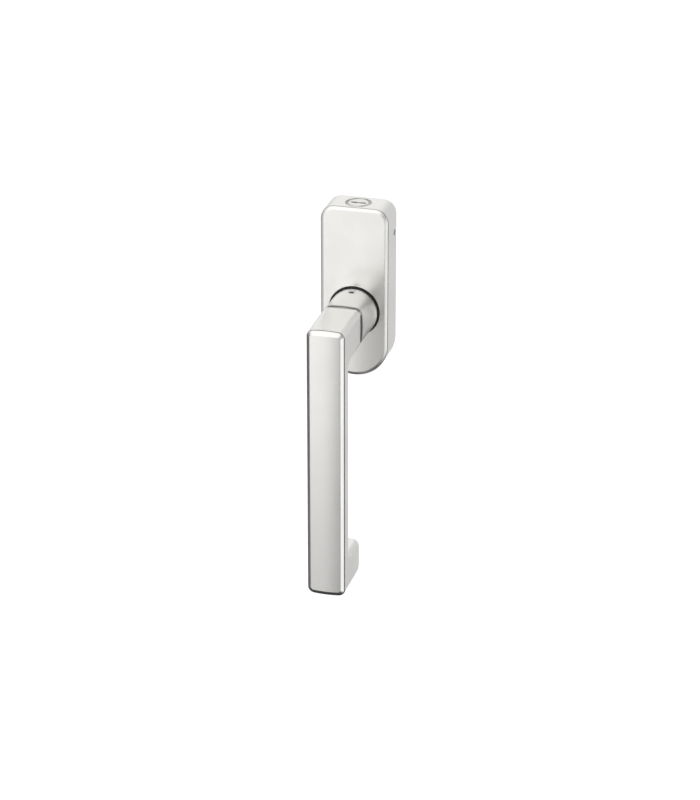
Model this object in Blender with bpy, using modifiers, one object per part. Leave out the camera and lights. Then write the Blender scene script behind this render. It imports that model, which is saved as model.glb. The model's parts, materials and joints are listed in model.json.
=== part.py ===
"""A lockable tilt and turn window handle, in metres, with +Z up and the room on the -Y side.

The origin is where the spindle's axis meets the window frame. Most pieces are modelled in a
"room frame", an empty turned so that its +X is right, +Y is up and +Z points from the wall
into the room. In it a height along Z is simply a distance from the wall.
"""

from math import cos, hypot, pi, radians, sin, sqrt

import bmesh
import bpy
from mathutils import Matrix, Vector

MM = 0.001

# Rose: the upright cover with a half round lower end
ROSE_WIDTH = 31.0 * MM
ROSE_TOP = 49.0 * MM
ROSE_BOTTOM = -31.2 * MM
ROSE_DEPTH = 15.0 * MM
ROSE_CORNER = 6.2 * MM
ROSE_EDGE = 0.9 * MM
CAP_WALL = 1.5 * MM
CAP_LIFT = 0.2 * MM
NOTCH_HEIGHT = 2.4 * MM
NOTCH_DEPTH = 4.8 * MM
NOTCH_UP = 34.9 * MM
COLLAR_HOLE = 12.1 * MM
GUIDE_OUTER = 11.95 * MM
GUIDE_LIP = 12.9 * MM
GUIDE_FLANGE = 0.45 * MM
GUIDE_PROUD = 0.3 * MM

# Base plate and its screws
PLATE_INSET = 1.8 * MM
PLATE_THICK = 4.5 * MM
SCREW_SPACING = 43.0 * MM
SCREW_RADIUS = 2.5 * MM
SCREW_LENGTH = 45.0 * MM
SCREW_HOLE = 2.65 * MM
SCREW_HEAD = 4.5 * MM
BOSS_RADIUS = 5.0 * MM
BOSS_LENGTH = 10.0 * MM
TOWER_RADIUS = 9.0 * MM
TOWER_TOP = 7.7 * MM
PLATE_BORE = 7.8 * MM
RECESS_RADIUS = 8.9 * MM
RECESS_DEPTH = 2.6 * MM
BLOCK_NEAR = 11.9 * MM
BLOCK_FAR = 18.6 * MM
BLOCK_HALF = 2.6 * MM
BLOCK_TOP = 12.6 * MM
POCKET_MOUTH = 11.0 * MM
POCKET_FLOOR = 17.3 * MM
RECESS_LENGTH = 2.3 * MM
RECESS_HALF = 0.5 * MM
CROSS_DEPTH = 1.6 * MM
SCREW_LEAD = 0.8 * MM

# Lever: collar, neck, bar and foot in one casting, with a hub that runs in the base
PROJECTION = 64.0 * MM
BAR_WIDTH = 17.2 * MM
BAR_THICK = 9.6 * MM
LEVER_TOP = 9.6 * MM
LEVER_BOTTOM = -118.9 * MM
NECK_UNDERSIDE = -8.4 * MM
NECK_REAR = 35.9 * MM
FOOT_REAR = 35.6 * MM
FOOT_HEIGHT = 17.7 * MM
LEVER_EDGE = 1.6 * MM
COLLAR_RADIUS = 11.0 * MM
COLLAR_FRONT = 34.7 * MM
COLLAR_REAR = 12.9 * MM
COLLAR_ROUND_END = 18.0 * MM
THROAT_MARGIN = 0.15 * MM
THROAT_CORNER = 3.6 * MM
WAIST_DEPTH = 1.7 * MM
HUB_RADIUS = 6.6 * MM
HUB_END = 0.4 * MM
SOCKET_SIZE = 7.2 * MM
SOCKET_DEPTH = 18.3 * MM
COLLAR_CHAMFER = 0.3 * MM
CIRCLIP_LOW = 1.0 * MM
CIRCLIP_HIGH = 1.9 * MM
CIRCLIP_DEPTH = 0.8 * MM

# Spindle, detent disc and what keeps them on the hub
SPINDLE_SIZE = 7.0 * MM
SPINDLE_REACH = 35.0 * MM
SPINDLE_FRONT = 18.0 * MM
DISC_RADIUS = 11.4 * MM
DISC_BORE = 6.75 * MM
DISC_REAR = 8.7 * MM
DISC_FRONT = 11.9 * MM
PIN_RADIUS = 0.8 * MM
PIN_LENGTH = 22.0 * MM
BALL_RADIUS = 1.5 * MM
BALL_TRAVEL = 0.8 * MM
SPRING_WIRE = 0.225 * MM
SPRING_RADIUS = 1.15 * MM
SPRING_LENGTH = 2.2 * MM
SPRING_TURNS = 3.5
RETAINER_LOW = 1.1 * MM
RETAINER_THICK = 0.7 * MM
RETAINER_RADIUS = 8.0 * MM

# Cylinder lock in the rose's upper end
LOCK_DEPTH = 7.5 * MM
HOUSING_RADIUS = 5.45 * MM
HOUSING_BORE = 4.45 * MM
HOUSING_END = 34.0 * MM
PLUG_RADIUS = 4.3 * MM
PLUG_HEAD = 4.75 * MM
PLUG_TOP = 48.9 * MM
KEYWAY_LENGTH = 6.6 * MM
KEYWAY_WIDTH = 1.3 * MM
HEAD_SEAT = 47.5 * MM
CLIP_GROOVE = (46.1 * MM, 47.3 * MM)
CLIP_GROOVE_DEPTH = 0.5 * MM
CLIP_HALF = 6.6 * MM
CLIP_FRONT = -4.0 * MM
CLIP_REAR = 6.2 * MM
CLIP_CORNER = 1.5 * MM
WAFER_GROOVE = (36.2 * MM, 45.6 * MM)
PLUG_LOW = 35.0 * MM
STUB_RADIUS = 3.0 * MM
STUB_LOW = 32.2 * MM
STUB_GROOVE = (33.0 * MM, 33.8 * MM)
STUB_GROOVE_RADIUS = 2.5 * MM
PLUG_CLIP_RADIUS = 5.3 * MM
WAFER_COUNT = 4
WAFER_FIRST = 37.5 * MM
WAFER_PITCH = 2.3 * MM
WAFER_THICK = 0.7 * MM
WAFER_HALF = 4.0 * MM
WAFER_DEEP = 1.5 * MM
WAFER_WINDOW = 2.9 * MM
TAIL_RADIUS = 1.6 * MM
CAM_RADIUS = 2.6 * MM
CAM_END = 9.4 * MM
CAM_FLAT = 0.8 * MM
CAM_LENGTH = 3.6 * MM
TAIL_TOP = 35.3 * MM

# Clearances and facets
FIT = 0.1 * MM
SLIP = 0.15 * MM
PLAY = 0.2 * MM
OVERCUT = 1.0 * MM
ROUND = 48
FINE = 24

SATIN = ("satin_aluminium", (0.80, 0.79, 0.77), 0.34, 1.0)
ZINC = ("cast_zinc", (0.50, 0.50, 0.50), 0.55, 1.0)
STEEL = ("zinc_plated_steel", (0.66, 0.67, 0.68), 0.35, 1.0)
SPRING_STEEL = ("spring_steel", (0.36, 0.36, 0.37), 0.30, 1.0)
BRASS = ("brass", (0.76, 0.62, 0.34), 0.35, 1.0)
LOCK_METAL = ("nickel_plate", (0.72, 0.71, 0.68), 0.25, 1.0)
BLACK_PLASTIC = ("black_plastic", (0.02, 0.02, 0.02), 0.45, 0.0)
PALE_PLASTIC = ("pale_plastic", (0.85, 0.85, 0.83), 0.50, 0.0)


def clear_scene():
    for old in list(bpy.data.objects):
        bpy.data.objects.remove(old, do_unlink=True)


def new_collection(name):
    group = bpy.data.collections.new(name)
    bpy.context.scene.collection.children.link(group)
    return group


def new_frame(name, place=(0, 0, 0), turn=(0, 0, 0), parent=None):
    """An empty that carries the pieces of one moving group."""
    frame = bpy.data.objects.new(name, None)
    frame.location = place
    frame.rotation_euler = turn
    frame.parent = parent
    HANDLE.objects.link(frame)
    return frame


def finish_of(name, colour, roughness, metallic):
    found = bpy.data.materials.get(name)
    if found:
        return found
    made = bpy.data.materials.new(name)
    made.use_nodes = True
    shader = made.node_tree.nodes["Principled BSDF"]
    shader.inputs["Base Color"].default_value = (*colour, 1.0)
    shader.inputs["Roughness"].default_value = roughness
    shader.inputs["Metallic"].default_value = metallic
    return made


def new_piece(name, mesh, parent, finish=None, place=(0, 0, 0), turn=(0, 0, 0)):
    """A sub-part when it has a finish, and otherwise a helper that cuts or joins one."""
    piece = bpy.data.objects.new(name, mesh)
    piece.parent = parent
    piece.location = place
    piece.rotation_euler = turn
    if finish:
        mesh.materials.append(finish_of(*finish))
        HANDLE.objects.link(piece)
    else:
        piece.hide_render = True
        piece.display_type = "WIRE"
        HELPERS.objects.link(piece)
    return piece


def mesh_of(name, shape):
    """Turns a bmesh into a mesh whose round sides are smooth and whose edges stay sharp."""
    mesh = bpy.data.meshes.new(name)
    bmesh.ops.recalc_face_normals(shape, faces=shape.faces)
    shape.to_mesh(mesh)
    shape.free()
    mesh.shade_smooth()
    mesh.set_sharp_from_angle(angle=radians(35))
    return mesh


def box(name, low, high, parent, finish=None, turn=(0, 0, 0), bevel=0.0):
    size = Vector(high) - Vector(low)
    shape = bmesh.new()
    bmesh.ops.create_cube(shape, size=1.0)
    bmesh.ops.scale(shape, vec=size, verts=shape.verts)
    bmesh.ops.translate(shape, vec=(Vector(low) + Vector(high)) / 2, verts=shape.verts)
    piece = new_piece(name, mesh_of(name, shape), parent, finish, turn=turn)
    if bevel:
        edges = piece.modifiers.new("edges", "BEVEL")
        edges.width = bevel
        edges.segments = 2
    return piece


def rod(name, radius, start, end, parent, finish=None, tip=None, facets=ROUND):
    """A straight cylinder from start to end, or a cone when its tip radius differs."""
    start = Vector(start)
    run = Vector(end) - start
    aim = run.to_track_quat("Z", "Y")
    shape = bmesh.new()
    bmesh.ops.create_cone(
        shape,
        cap_ends=True,
        segments=facets,
        radius1=radius,
        radius2=radius if tip is None else tip,
        depth=run.length,
        matrix=Matrix.Translation(start + run / 2) @ aim.to_matrix().to_4x4(),
    )
    return new_piece(name, mesh_of(name, shape), parent, finish)


def turned(name, profile, parent, finish=None, place=(0, 0, 0), facets=ROUND, ring=False):
    """A profile of (radius, height) points, top to bottom down its outer side, spun about Z."""
    mesh = bpy.data.meshes.new(name)
    shape = bmesh.new()
    points = [shape.verts.new((radius, 0, height)) for radius, height in profile]
    pairs = list(zip(points, points[1:]))
    if ring:
        pairs.append((points[-1], points[0]))
    for pair in pairs:
        shape.edges.new(pair)
    shape.to_mesh(mesh)
    shape.free()
    piece = new_piece(name, mesh, parent, finish, place)
    spin = piece.modifiers.new("turning", "SCREW")
    spin.axis = "Z"
    spin.steps = facets
    spin.render_steps = facets
    spin.use_merge_vertices = True
    spin.merge_threshold = 0.01 * MM
    spin.use_smooth_shade = False
    return piece


def arc(centre, radius, start, end, steps):
    """Points on a circle from one angle to another, in degrees, both ends included."""
    angles = [radians(start + (end - start) * i / steps) for i in range(steps + 1)]
    return [(centre[0] + radius * cos(a), centre[1] + radius * sin(a)) for a in angles]


def plate(name, outline, low, high, parent, finish=None, turn=(0, 0, 0), edge=0.0):
    """A flat outline given a thickness along Z, with its rims rounded when it has an edge."""
    curve = bpy.data.curves.new(name, "CURVE")
    curve.dimensions = "2D"
    curve.fill_mode = "BOTH"
    curve.extrude = (high - low) / 2 - edge
    curve.bevel_depth = edge
    curve.bevel_resolution = 1
    curve.offset = -edge
    spline = curve.splines.new("POLY")
    spline.points.add(len(outline) - 1)
    for point, (across, up) in zip(spline.points, outline):
        point.co = (across, up, 0, 1)
    spline.use_cyclic_u = True
    sketch = bpy.data.objects.new(name + "_outline", curve)
    HELPERS.objects.link(sketch)
    graph = bpy.context.evaluated_depsgraph_get()
    mesh = bpy.data.meshes.new_from_object(sketch.evaluated_get(graph))
    bpy.data.objects.remove(sketch, do_unlink=True)
    shape = bmesh.new()
    shape.from_mesh(mesh)
    bpy.data.meshes.remove(mesh)
    bmesh.ops.remove_doubles(shape, verts=shape.verts, dist=0.002 * MM)
    bmesh.ops.translate(shape, vec=(0, 0, (low + high) / 2), verts=shape.verts)
    return new_piece(name, mesh_of(name, shape), parent, finish, turn=turn)


def combine(piece, other, operation):
    step = piece.modifiers.new(other.name, "BOOLEAN")
    step.operation = operation
    step.object = other
    step.solver = "EXACT"


def cut(piece, *cutters):
    for cutter in cutters:
        combine(piece, cutter, "DIFFERENCE")


def join(piece, *others):
    for other in others:
        combine(piece, other, "UNION")


def soften(piece, height, width):
    """Rounds the rim of a piece that lies at one height."""
    mesh = piece.data
    weight = mesh.attributes.new("bevel_weight_edge", "FLOAT", "EDGE")
    for edge in mesh.edges:
        ends = [mesh.vertices[i].co.z for i in edge.vertices]
        weight.data[edge.index].value = float(min(ends) > height - 0.01 * MM)
    rim = piece.modifiers.new("rim", "BEVEL")
    rim.limit_method = "WEIGHT"
    rim.width = width
    rim.segments = 3


def rose_outline(inset):
    """The rose's outline seen from the room, drawn inwards by an inset."""
    half = ROSE_WIDTH / 2
    low = (0, ROSE_BOTTOM + half)
    across = half - ROSE_CORNER
    up = ROSE_TOP - ROSE_CORNER
    corner = ROSE_CORNER - inset
    return (
        arc(low, half - inset, 180, 360, 24)
        + arc((across, up), corner, 0, 90, 6)
        + arc((-across, up), corner, 90, 180, 6)
    )


def make_cover_cap(room):
    cap = plate("cover_cap", rose_outline(0), CAP_LIFT, ROSE_DEPTH, room, SATIN)
    soften(cap, ROSE_DEPTH, ROSE_EDGE)
    hollow = plate("cap_hollow", rose_outline(CAP_WALL), -OVERCUT, ROSE_DEPTH - CAP_WALL, room)
    through = (0, 0, ROSE_DEPTH - 2 * CAP_WALL), (0, 0, ROSE_DEPTH + OVERCUT)
    collar_hole = rod("cap_collar_hole", COLLAR_HOLE, *through, room)
    lock_hole = rod(
        "cap_lock_hole",
        HOUSING_RADIUS + 2 * SLIP,
        (0, ROSE_TOP - 2 * CAP_WALL, LOCK_DEPTH),
        (0, ROSE_TOP + OVERCUT, LOCK_DEPTH),
        room,
    )
    notch = box(
        "cap_notch",
        (ROSE_WIDTH / 2 - 2 * CAP_WALL, NOTCH_UP - NOTCH_HEIGHT / 2, -OVERCUT),
        (ROSE_WIDTH / 2 + OVERCUT, NOTCH_UP + NOTCH_HEIGHT / 2, NOTCH_DEPTH),
        room,
    )
    cut(cap, hollow, collar_hole, lock_hole, notch)


def diagonal(distance, side):
    """A point on a detent's line, which runs down and outwards from the spindle at 45 degrees."""
    return Vector((side * distance / sqrt(2), -distance / sqrt(2)))


def make_base_plate(room):
    base = plate("base_plate", rose_outline(PLATE_INSET), 0, PLATE_THICK, room, ZINC)
    tower = rod("base_tower", TOWER_RADIUS, (0, 0, PLATE_THICK / 2), (0, 0, TOWER_TOP), room)
    join(base, tower)
    cutters = [
        rod("base_bore", PLATE_BORE, (0, 0, -OVERCUT), (0, 0, TOWER_TOP + OVERCUT), room),
        rod("base_recess", RECESS_RADIUS, (0, 0, -OVERCUT), (0, 0, RECESS_DEPTH), room),
    ]
    for word, up in (("upper", SCREW_SPACING / 2), ("lower", -SCREW_SPACING / 2)):
        boss = rod(
            f"{word}_boss", BOSS_RADIUS, (0, up, -BOSS_LENGTH), (0, up, PLATE_THICK / 2), room
        )
        join(base, boss)
        ends = (0, up, -BOSS_LENGTH - OVERCUT), (0, up, PLATE_THICK + OVERCUT)
        cutters.append(rod(f"{word}_screw_hole", SCREW_HOLE, *ends, room, facets=FINE))
        wide = SCREW_HEAD + 2 * PLAY
        deep = wide - SCREW_HOLE + FIT
        sink = (0, up, PLATE_THICK - deep), (0, up, PLATE_THICK + OVERCUT)
        cutters.append(rod(f"{word}_sink", wide - deep, *sink, room, tip=wide + OVERCUT))
    for word, side in (("left", -1), ("right", 1)):
        block = box(
            f"{word}_detent_block",
            (BLOCK_NEAR, -BLOCK_HALF, PLATE_THICK / 2),
            (BLOCK_FAR, BLOCK_HALF, BLOCK_TOP),
            room,
            turn=(0, 0, radians(-90 + side * 45)),
        )
        join(base, block)
        mouth = diagonal(POCKET_MOUTH, side)
        floor = diagonal(POCKET_FLOOR, side)
        level = (DISC_REAR + DISC_FRONT) / 2
        ends = (*mouth, level), (*floor, level)
        cutters.append(rod(f"{word}_ball_pocket", BALL_RADIUS + SLIP, *ends, room, facets=FINE))
    deep, tall = -BOSS_LENGTH - OVERCUT, BLOCK_TOP + OVERCUT
    envelope = plate("base_envelope", rose_outline(PLATE_INSET), deep, tall, room)
    combine(base, envelope, "INTERSECT")
    trough = (0, HOUSING_END - TAIL_RADIUS, LOCK_DEPTH), (0, ROSE_TOP, LOCK_DEPTH)
    cutters.append(rod("lock_trough", HOUSING_RADIUS + 3 * SLIP, *trough, room))
    room_for_clip = CLIP_HALF + 4 * SLIP
    low = (-room_for_clip, CLIP_GROOVE[0] - SLIP, LOCK_DEPTH - CLIP_REAR - 2 * SLIP)
    high = (room_for_clip, ROSE_TOP, LOCK_DEPTH + OVERCUT)
    cutters.append(box("clip_slot", low, high, room))
    cut(base, *cutters)


def make_guide_ring(room):
    inner = COLLAR_RADIUS + SLIP + FIT
    flange = ROSE_DEPTH - CAP_WALL - PLAY
    rear = flange - GUIDE_FLANGE
    front = ROSE_DEPTH + GUIDE_PROUD
    profile = [
        (inner, front),
        (GUIDE_OUTER, front),
        (GUIDE_OUTER, flange),
        (GUIDE_LIP, flange),
        (GUIDE_LIP, rear),
        (inner, rear),
    ]
    turned("guide_ring", profile, room, BLACK_PLASTIC, ring=True)


def make_bearing_bush(room):
    inner = HUB_RADIUS + FIT
    outer = PLATE_BORE - PLAY
    flange = TOWER_TOP + SLIP
    front = DISC_REAR - SLIP
    lip = TOWER_RADIUS - PLAY
    rear = RECESS_DEPTH + SLIP
    profile = [
        (inner, front),
        (lip, front),
        (lip, flange),
        (outer, flange),
        (outer, rear),
        (inner, rear),
    ]
    turned("bearing_bush", profile, room, PALE_PLASTIC, ring=True)


def make_fixing_screws(room):
    """Countersunk screws, with a cross recess in each head and a short lead at the tip."""
    top = PLATE_THICK - PLAY
    neck = top - (SCREW_HEAD - SCREW_RADIUS)
    tip = top - SCREW_LENGTH
    profile = [
        (0, top),
        (SCREW_HEAD, top),
        (SCREW_RADIUS, neck),
        (SCREW_RADIUS, tip + SCREW_LEAD),
        (SCREW_RADIUS - SCREW_LEAD, tip),
        (0, tip),
    ]
    for word, up in (("upper", SCREW_SPACING / 2), ("lower", -SCREW_SPACING / 2)):
        name = f"fixing_screw_{word}"
        screw = turned(name, profile, room, STEEL, place=(0, up, 0), facets=FINE)
        long, thin = RECESS_LENGTH, RECESS_HALF
        floor = top - CROSS_DEPTH
        flat = (-long, up - thin, floor), (long, up + thin, top + OVERCUT)
        upright = (-thin, up - long, floor), (thin, up + long, top + OVERCUT)
        slots = (
            box(name + "_slot", *flat, room),
            box(name + "_cross_slot", *upright, room),
        )
        cut(screw, *slots)


def lever_outline():
    """The side of the bar, neck and foot: distance from the wall across, height up."""
    front = PROJECTION
    back = PROJECTION - BAR_THICK
    nose = 2.6 * MM
    heel = 4.0 * MM
    hollow = 3.0 * MM
    sole = LEVER_BOTTOM + FOOT_HEIGHT
    return (
        arc((front - nose, LEVER_TOP - nose), nose, 0, 90, 4)
        + [(NECK_REAR, LEVER_TOP), (NECK_REAR, NECK_UNDERSIDE)]
        + arc((back - hollow, NECK_UNDERSIDE - hollow), hollow, 90, 0, 4)
        + arc((back - hollow, sole + hollow), hollow, 0, -90, 4)
        + arc((FOOT_REAR + heel, sole - heel), heel, 90, 180, 5)
        + arc((FOOT_REAR + heel, LEVER_BOTTOM + heel), heel, 180, 270, 5)
        + arc((front - nose, LEVER_BOTTOM + nose), nose, 270, 360, 4)
    )


def make_lever(axis):
    half = BAR_WIDTH / 2
    sideways = (0, -pi / 2, 0)
    lever = plate(
        "lever", lever_outline(), -half, half, axis, SATIN, turn=sideways, edge=LEVER_EDGE
    )
    groove = HUB_RADIUS - CIRCLIP_DEPTH
    waist = COLLAR_RADIUS - WAIST_DEPTH
    profile = [
        (0, NECK_REAR + OVERCUT),
        (waist, NECK_REAR + OVERCUT),
        (waist, COLLAR_FRONT),
        (COLLAR_RADIUS - COLLAR_CHAMFER, COLLAR_FRONT),
        (COLLAR_RADIUS, COLLAR_FRONT - COLLAR_CHAMFER),
        (COLLAR_RADIUS, COLLAR_ROUND_END),
        (COLLAR_RADIUS, COLLAR_REAR),
        (HUB_RADIUS, COLLAR_REAR),
        (HUB_RADIUS, CIRCLIP_HIGH),
        (groove, CIRCLIP_HIGH),
        (groove, CIRCLIP_LOW),
        (HUB_RADIUS, CIRCLIP_LOW),
        (HUB_RADIUS, HUB_END),
        (0, HUB_END),
    ]
    collar = turned("lever_collar", profile, axis)
    square_up(collar)
    join(lever, collar)
    side = SOCKET_SIZE / 2
    socket = box("spindle_socket", (-side, -side, -OVERCUT), (side, side, SOCKET_DEPTH), axis)
    cut(lever, socket, pin_hole("hub_pin_hole", axis))


def throat_reach(across, along):
    """How far the collar's front outline lies from its centre in a direction of length one."""
    wide = BAR_WIDTH / 2 + THROAT_MARGIN - THROAT_CORNER
    tall = (LEVER_TOP - NECK_UNDERSIDE) / 2 + THROAT_MARGIN - THROAT_CORNER
    near, far = 0.0, BAR_WIDTH
    for _ in range(30):
        reach = (near + far) / 2
        beyond = max(0.0, abs(across) * reach - wide), max(0.0, abs(along) * reach - tall)
        near, far = (reach, far) if hypot(*beyond) < THROAT_CORNER else (near, reach)
    return near


def square_up(collar):
    """Blends the collar from its round rear end to the neck's rounded outline in front."""
    graph = bpy.context.evaluated_depsgraph_get()
    collar.data = bpy.data.meshes.new_from_object(collar.evaluated_get(graph))
    collar.modifiers.clear()
    middle = (LEVER_TOP + NECK_UNDERSIDE) / 2
    for vertex in collar.data.vertices:
        x, y, height = vertex.co
        share = (height - COLLAR_ROUND_END) / (COLLAR_FRONT - COLLAR_CHAMFER - COLLAR_ROUND_END)
        share = min(1.0, max(0.0, share))
        radius = hypot(x, y)
        if share == 0 or radius < MM:
            continue
        change = share * (throat_reach(x / radius, y / radius) - COLLAR_RADIUS)
        stretch = (radius + change) / radius
        vertex.co = x * stretch, y * stretch + share * middle, height


def pin_hole(name, axis):
    level = (DISC_REAR + DISC_FRONT) / 2
    reach = DISC_RADIUS + OVERCUT
    return rod(name, PIN_RADIUS + SLIP, (-reach, 0, level), (reach, 0, level), axis, facets=12)


def make_spindle(axis):
    side = SPINDLE_SIZE / 2
    spindle = box(
        "spindle",
        (-side, -side, -SPINDLE_REACH),
        (side, side, SPINDLE_FRONT),
        axis,
        STEEL,
        bevel=0.4 * MM,
    )
    cut(spindle, pin_hole("spindle_pin_hole", axis))
    level = (DISC_REAR + DISC_FRONT) / 2
    ends = (-PIN_LENGTH / 2, 0, level), (PIN_LENGTH / 2, 0, level)
    rod("cross_pin", PIN_RADIUS, *ends, axis, SPRING_STEEL, facets=12)


def make_detent_disc(axis):
    """Four round notches for the balls and one recess above and below for the lock's cam."""
    profile = [
        (DISC_BORE, DISC_FRONT),
        (DISC_RADIUS, DISC_FRONT),
        (DISC_RADIUS, DISC_REAR),
        (DISC_BORE, DISC_REAR),
    ]
    disc = turned("detent_disc", profile, axis, ZINC, ring=True)
    cut(disc, pin_hole("disc_pin_hole", axis))
    seat = DISC_RADIUS + BALL_RADIUS - BALL_TRAVEL + FIT
    for quarter in range(4):
        angle = radians(45 + 90 * quarter)
        spot = seat * cos(angle), seat * sin(angle)
        ends = (*spot, DISC_REAR - OVERCUT), (*spot, DISC_FRONT + OVERCUT)
        cut(disc, rod(f"ball_notch_{quarter + 1}", BALL_RADIUS + SLIP, *ends, axis, facets=FINE))
    for word, side in (("upper", 1), ("lower", -1)):
        floor = side * (CAM_END - 2 * PLAY)
        ends = (0, floor, LOCK_DEPTH), (0, side * (DISC_RADIUS + OVERCUT), LOCK_DEPTH)
        cut(disc, rod(f"{word}_cam_recess", CAM_RADIUS + 0.25 * MM, *ends, axis, facets=FINE))


def open_ring(inner, outer, gap_angle, steps=20):
    """A flat ring with a gap at its top, as one outline."""
    start, end = 90 + gap_angle / 2, 450 - gap_angle / 2
    return arc((0, 0), outer, start, end, steps) + arc((0, 0), inner, end, start, steps)


def make_hub_retainer(axis):
    top = RETAINER_LOW + RETAINER_THICK
    outline = open_ring(HUB_RADIUS - CIRCLIP_DEPTH + SLIP, RETAINER_RADIUS, 50)
    plate("retaining_ring", outline, RETAINER_LOW, top, axis, SPRING_STEEL)
    washer_low = top + SLIP
    washer_high = RECESS_DEPTH - SLIP
    inner, outer = HUB_RADIUS + SLIP, RECESS_RADIUS - 2 * SLIP
    profile = [
        (inner, washer_high),
        (outer, washer_high),
        (outer, washer_low),
        (inner, washer_low),
    ]
    turned("thrust_washer", profile, axis, STEEL, ring=True)


def make_detent(word, side, room):
    """A ball that rides on the disc's rim, in its own frame whose +Z points at the spindle."""
    level = (DISC_REAR + DISC_FRONT) / 2
    rest = DISC_RADIUS + BALL_RADIUS + FIT
    aim = Vector((*diagonal(-1.0, side), 0)).to_track_quat("Z", "Y").to_euler()
    line = new_frame(f"{word}_detent_line", (*diagonal(rest, side), level), aim, room)
    shape = bmesh.new()
    bmesh.ops.create_uvsphere(shape, u_segments=16, v_segments=10, radius=BALL_RADIUS)
    name = f"detent_ball_{word}"
    new_piece(name, mesh_of(name, shape), line, SPRING_STEEL)
    make_spring(f"detent_spring_{word}", line)


def make_spring(name, line):
    """A short compression spring that pushes its ball along the line."""
    near = -BALL_RADIUS - SPRING_WIRE - SLIP
    per_turn = 12
    count = int(SPRING_TURNS * per_turn)
    wire = bpy.data.curves.new(name, "CURVE")
    wire.dimensions = "3D"
    wire.bevel_depth = SPRING_WIRE
    wire.bevel_resolution = 2
    wire.use_fill_caps = True
    coil = wire.splines.new("POLY")
    coil.points.add(count)
    for i, point in enumerate(coil.points):
        angle = 2 * pi * i / per_turn
        along = near - SPRING_LENGTH * i / count
        point.co = (SPRING_RADIUS * cos(angle), SPRING_RADIUS * sin(angle), along, 1)
    new_piece(name, wire, line, SPRING_STEEL)


def make_lock_housing(lock):
    """The lock's fixed shell: it stands flush in the cap and is held behind it by a clip."""
    top = PLUG_TOP + SLIP / 3
    groove_low, groove_top = CLIP_GROOVE
    groove = HOUSING_RADIUS - CLIP_GROOVE_DEPTH
    counterbore = PLUG_HEAD + SLIP
    profile = [
        (counterbore, top),
        (HOUSING_RADIUS, top),
        (HOUSING_RADIUS, groove_top),
        (groove, groove_top),
        (groove, groove_low),
        (HOUSING_RADIUS, groove_low),
        (HOUSING_RADIUS, HOUSING_END),
        (HOUSING_BORE, HOUSING_END),
        (HOUSING_BORE, HEAD_SEAT),
        (counterbore, HEAD_SEAT),
    ]
    housing = turned("lock_housing", profile, lock, LOCK_METAL, ring=True)
    for word, side in (("left", -1), ("right", 1)):
        across = sorted((side * (PLUG_RADIUS - OVERCUT), side * groove))
        deep = WAFER_DEEP + SLIP
        low = (across[0], -deep, WAFER_GROOVE[0])
        high = (across[1], deep, WAFER_GROOVE[1])
        cut(housing, box(f"{word}_wafer_groove", low, high, lock))
    make_lock_clip(lock, groove + SLIP)


def make_lock_clip(lock, inner):
    """A U shaped plate that slides into the housing's groove from the front."""
    across, back = CLIP_HALF - CLIP_CORNER, CLIP_REAR - CLIP_CORNER
    outline = (
        [(-inner, CLIP_FRONT), (-CLIP_HALF, CLIP_FRONT)]
        + arc((-across, back), CLIP_CORNER, 180, 90, 3)
        + arc((across, back), CLIP_CORNER, 90, 0, 3)
        + [(CLIP_HALF, CLIP_FRONT), (inner, CLIP_FRONT)]
        + arc((0, 0), inner, 0, 180, 12)
    )
    low, high = CLIP_GROOVE[0] + SLIP, CLIP_GROOVE[1] - SLIP
    plate("lock_clip", outline, low, high, lock, SPRING_STEEL)


def make_lock_plug(plug_axis):
    """The part the key turns: head, keyway, wafer slots, a stub for the clip and a tail."""
    low_edge, high_edge = STUB_GROOVE
    profile = [
        (0, PLUG_TOP),
        (PLUG_HEAD, PLUG_TOP),
        (PLUG_HEAD, HEAD_SEAT + SLIP),
        (PLUG_RADIUS, HEAD_SEAT + SLIP),
        (PLUG_RADIUS, PLUG_LOW),
        (STUB_RADIUS, PLUG_LOW),
        (STUB_RADIUS, high_edge),
        (STUB_GROOVE_RADIUS, high_edge),
        (STUB_GROOVE_RADIUS, low_edge),
        (STUB_RADIUS, low_edge),
        (STUB_RADIUS, STUB_LOW),
        (0, STUB_LOW),
    ]
    plug = turned("lock_plug", profile, plug_axis, LOCK_METAL)
    half, thin = KEYWAY_LENGTH / 2, KEYWAY_WIDTH / 2
    keyway = (-half, -thin, PLUG_LOW + OVERCUT), (half, thin, PLUG_TOP + OVERCUT)
    cut(plug, box("keyway", *keyway, plug_axis))
    for i in range(WAFER_COUNT):
        level = WAFER_FIRST + i * WAFER_PITCH
        wide, deep, half = PLUG_RADIUS + OVERCUT, WAFER_DEEP + SLIP, WAFER_THICK / 2 + SLIP
        slot = (-wide, -deep, level - half), (wide, deep, level + half)
        cut(plug, box(f"wafer_slot_{i + 1}", *slot, plug_axis))
    socket = (0, 0, STUB_LOW - OVERCUT), (0, 0, TAIL_TOP + PLAY)
    cut(plug, rod("tail_socket", TAIL_RADIUS + SLIP, *socket, plug_axis, facets=FINE))
    outline = open_ring(STUB_GROOVE_RADIUS + SLIP, PLUG_CLIP_RADIUS, 60)
    low, high = low_edge + FIT, high_edge - FIT
    plate("plug_clip", outline, low, high, plug_axis, SPRING_STEEL)


def make_tailpiece(plug_axis):
    """The rod from the plug down to the disc, with a D shaped cam that faces the wall."""
    shoulder = CAM_END + CAM_LENGTH
    profile = [
        (0, TAIL_TOP),
        (TAIL_RADIUS, TAIL_TOP),
        (TAIL_RADIUS, shoulder),
        (CAM_RADIUS, shoulder),
        (CAM_RADIUS, CAM_END),
        (0, CAM_END),
    ]
    tail = turned("lock_tailpiece", profile, plug_axis, STEEL, facets=FINE)
    wide = CAM_RADIUS + OVERCUT
    low, high = (-wide, -wide, CAM_END - OVERCUT), (wide, -CAM_FLAT, shoulder + 2 * PLAY)
    cut(tail, box("cam_flat", low, high, plug_axis))


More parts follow.
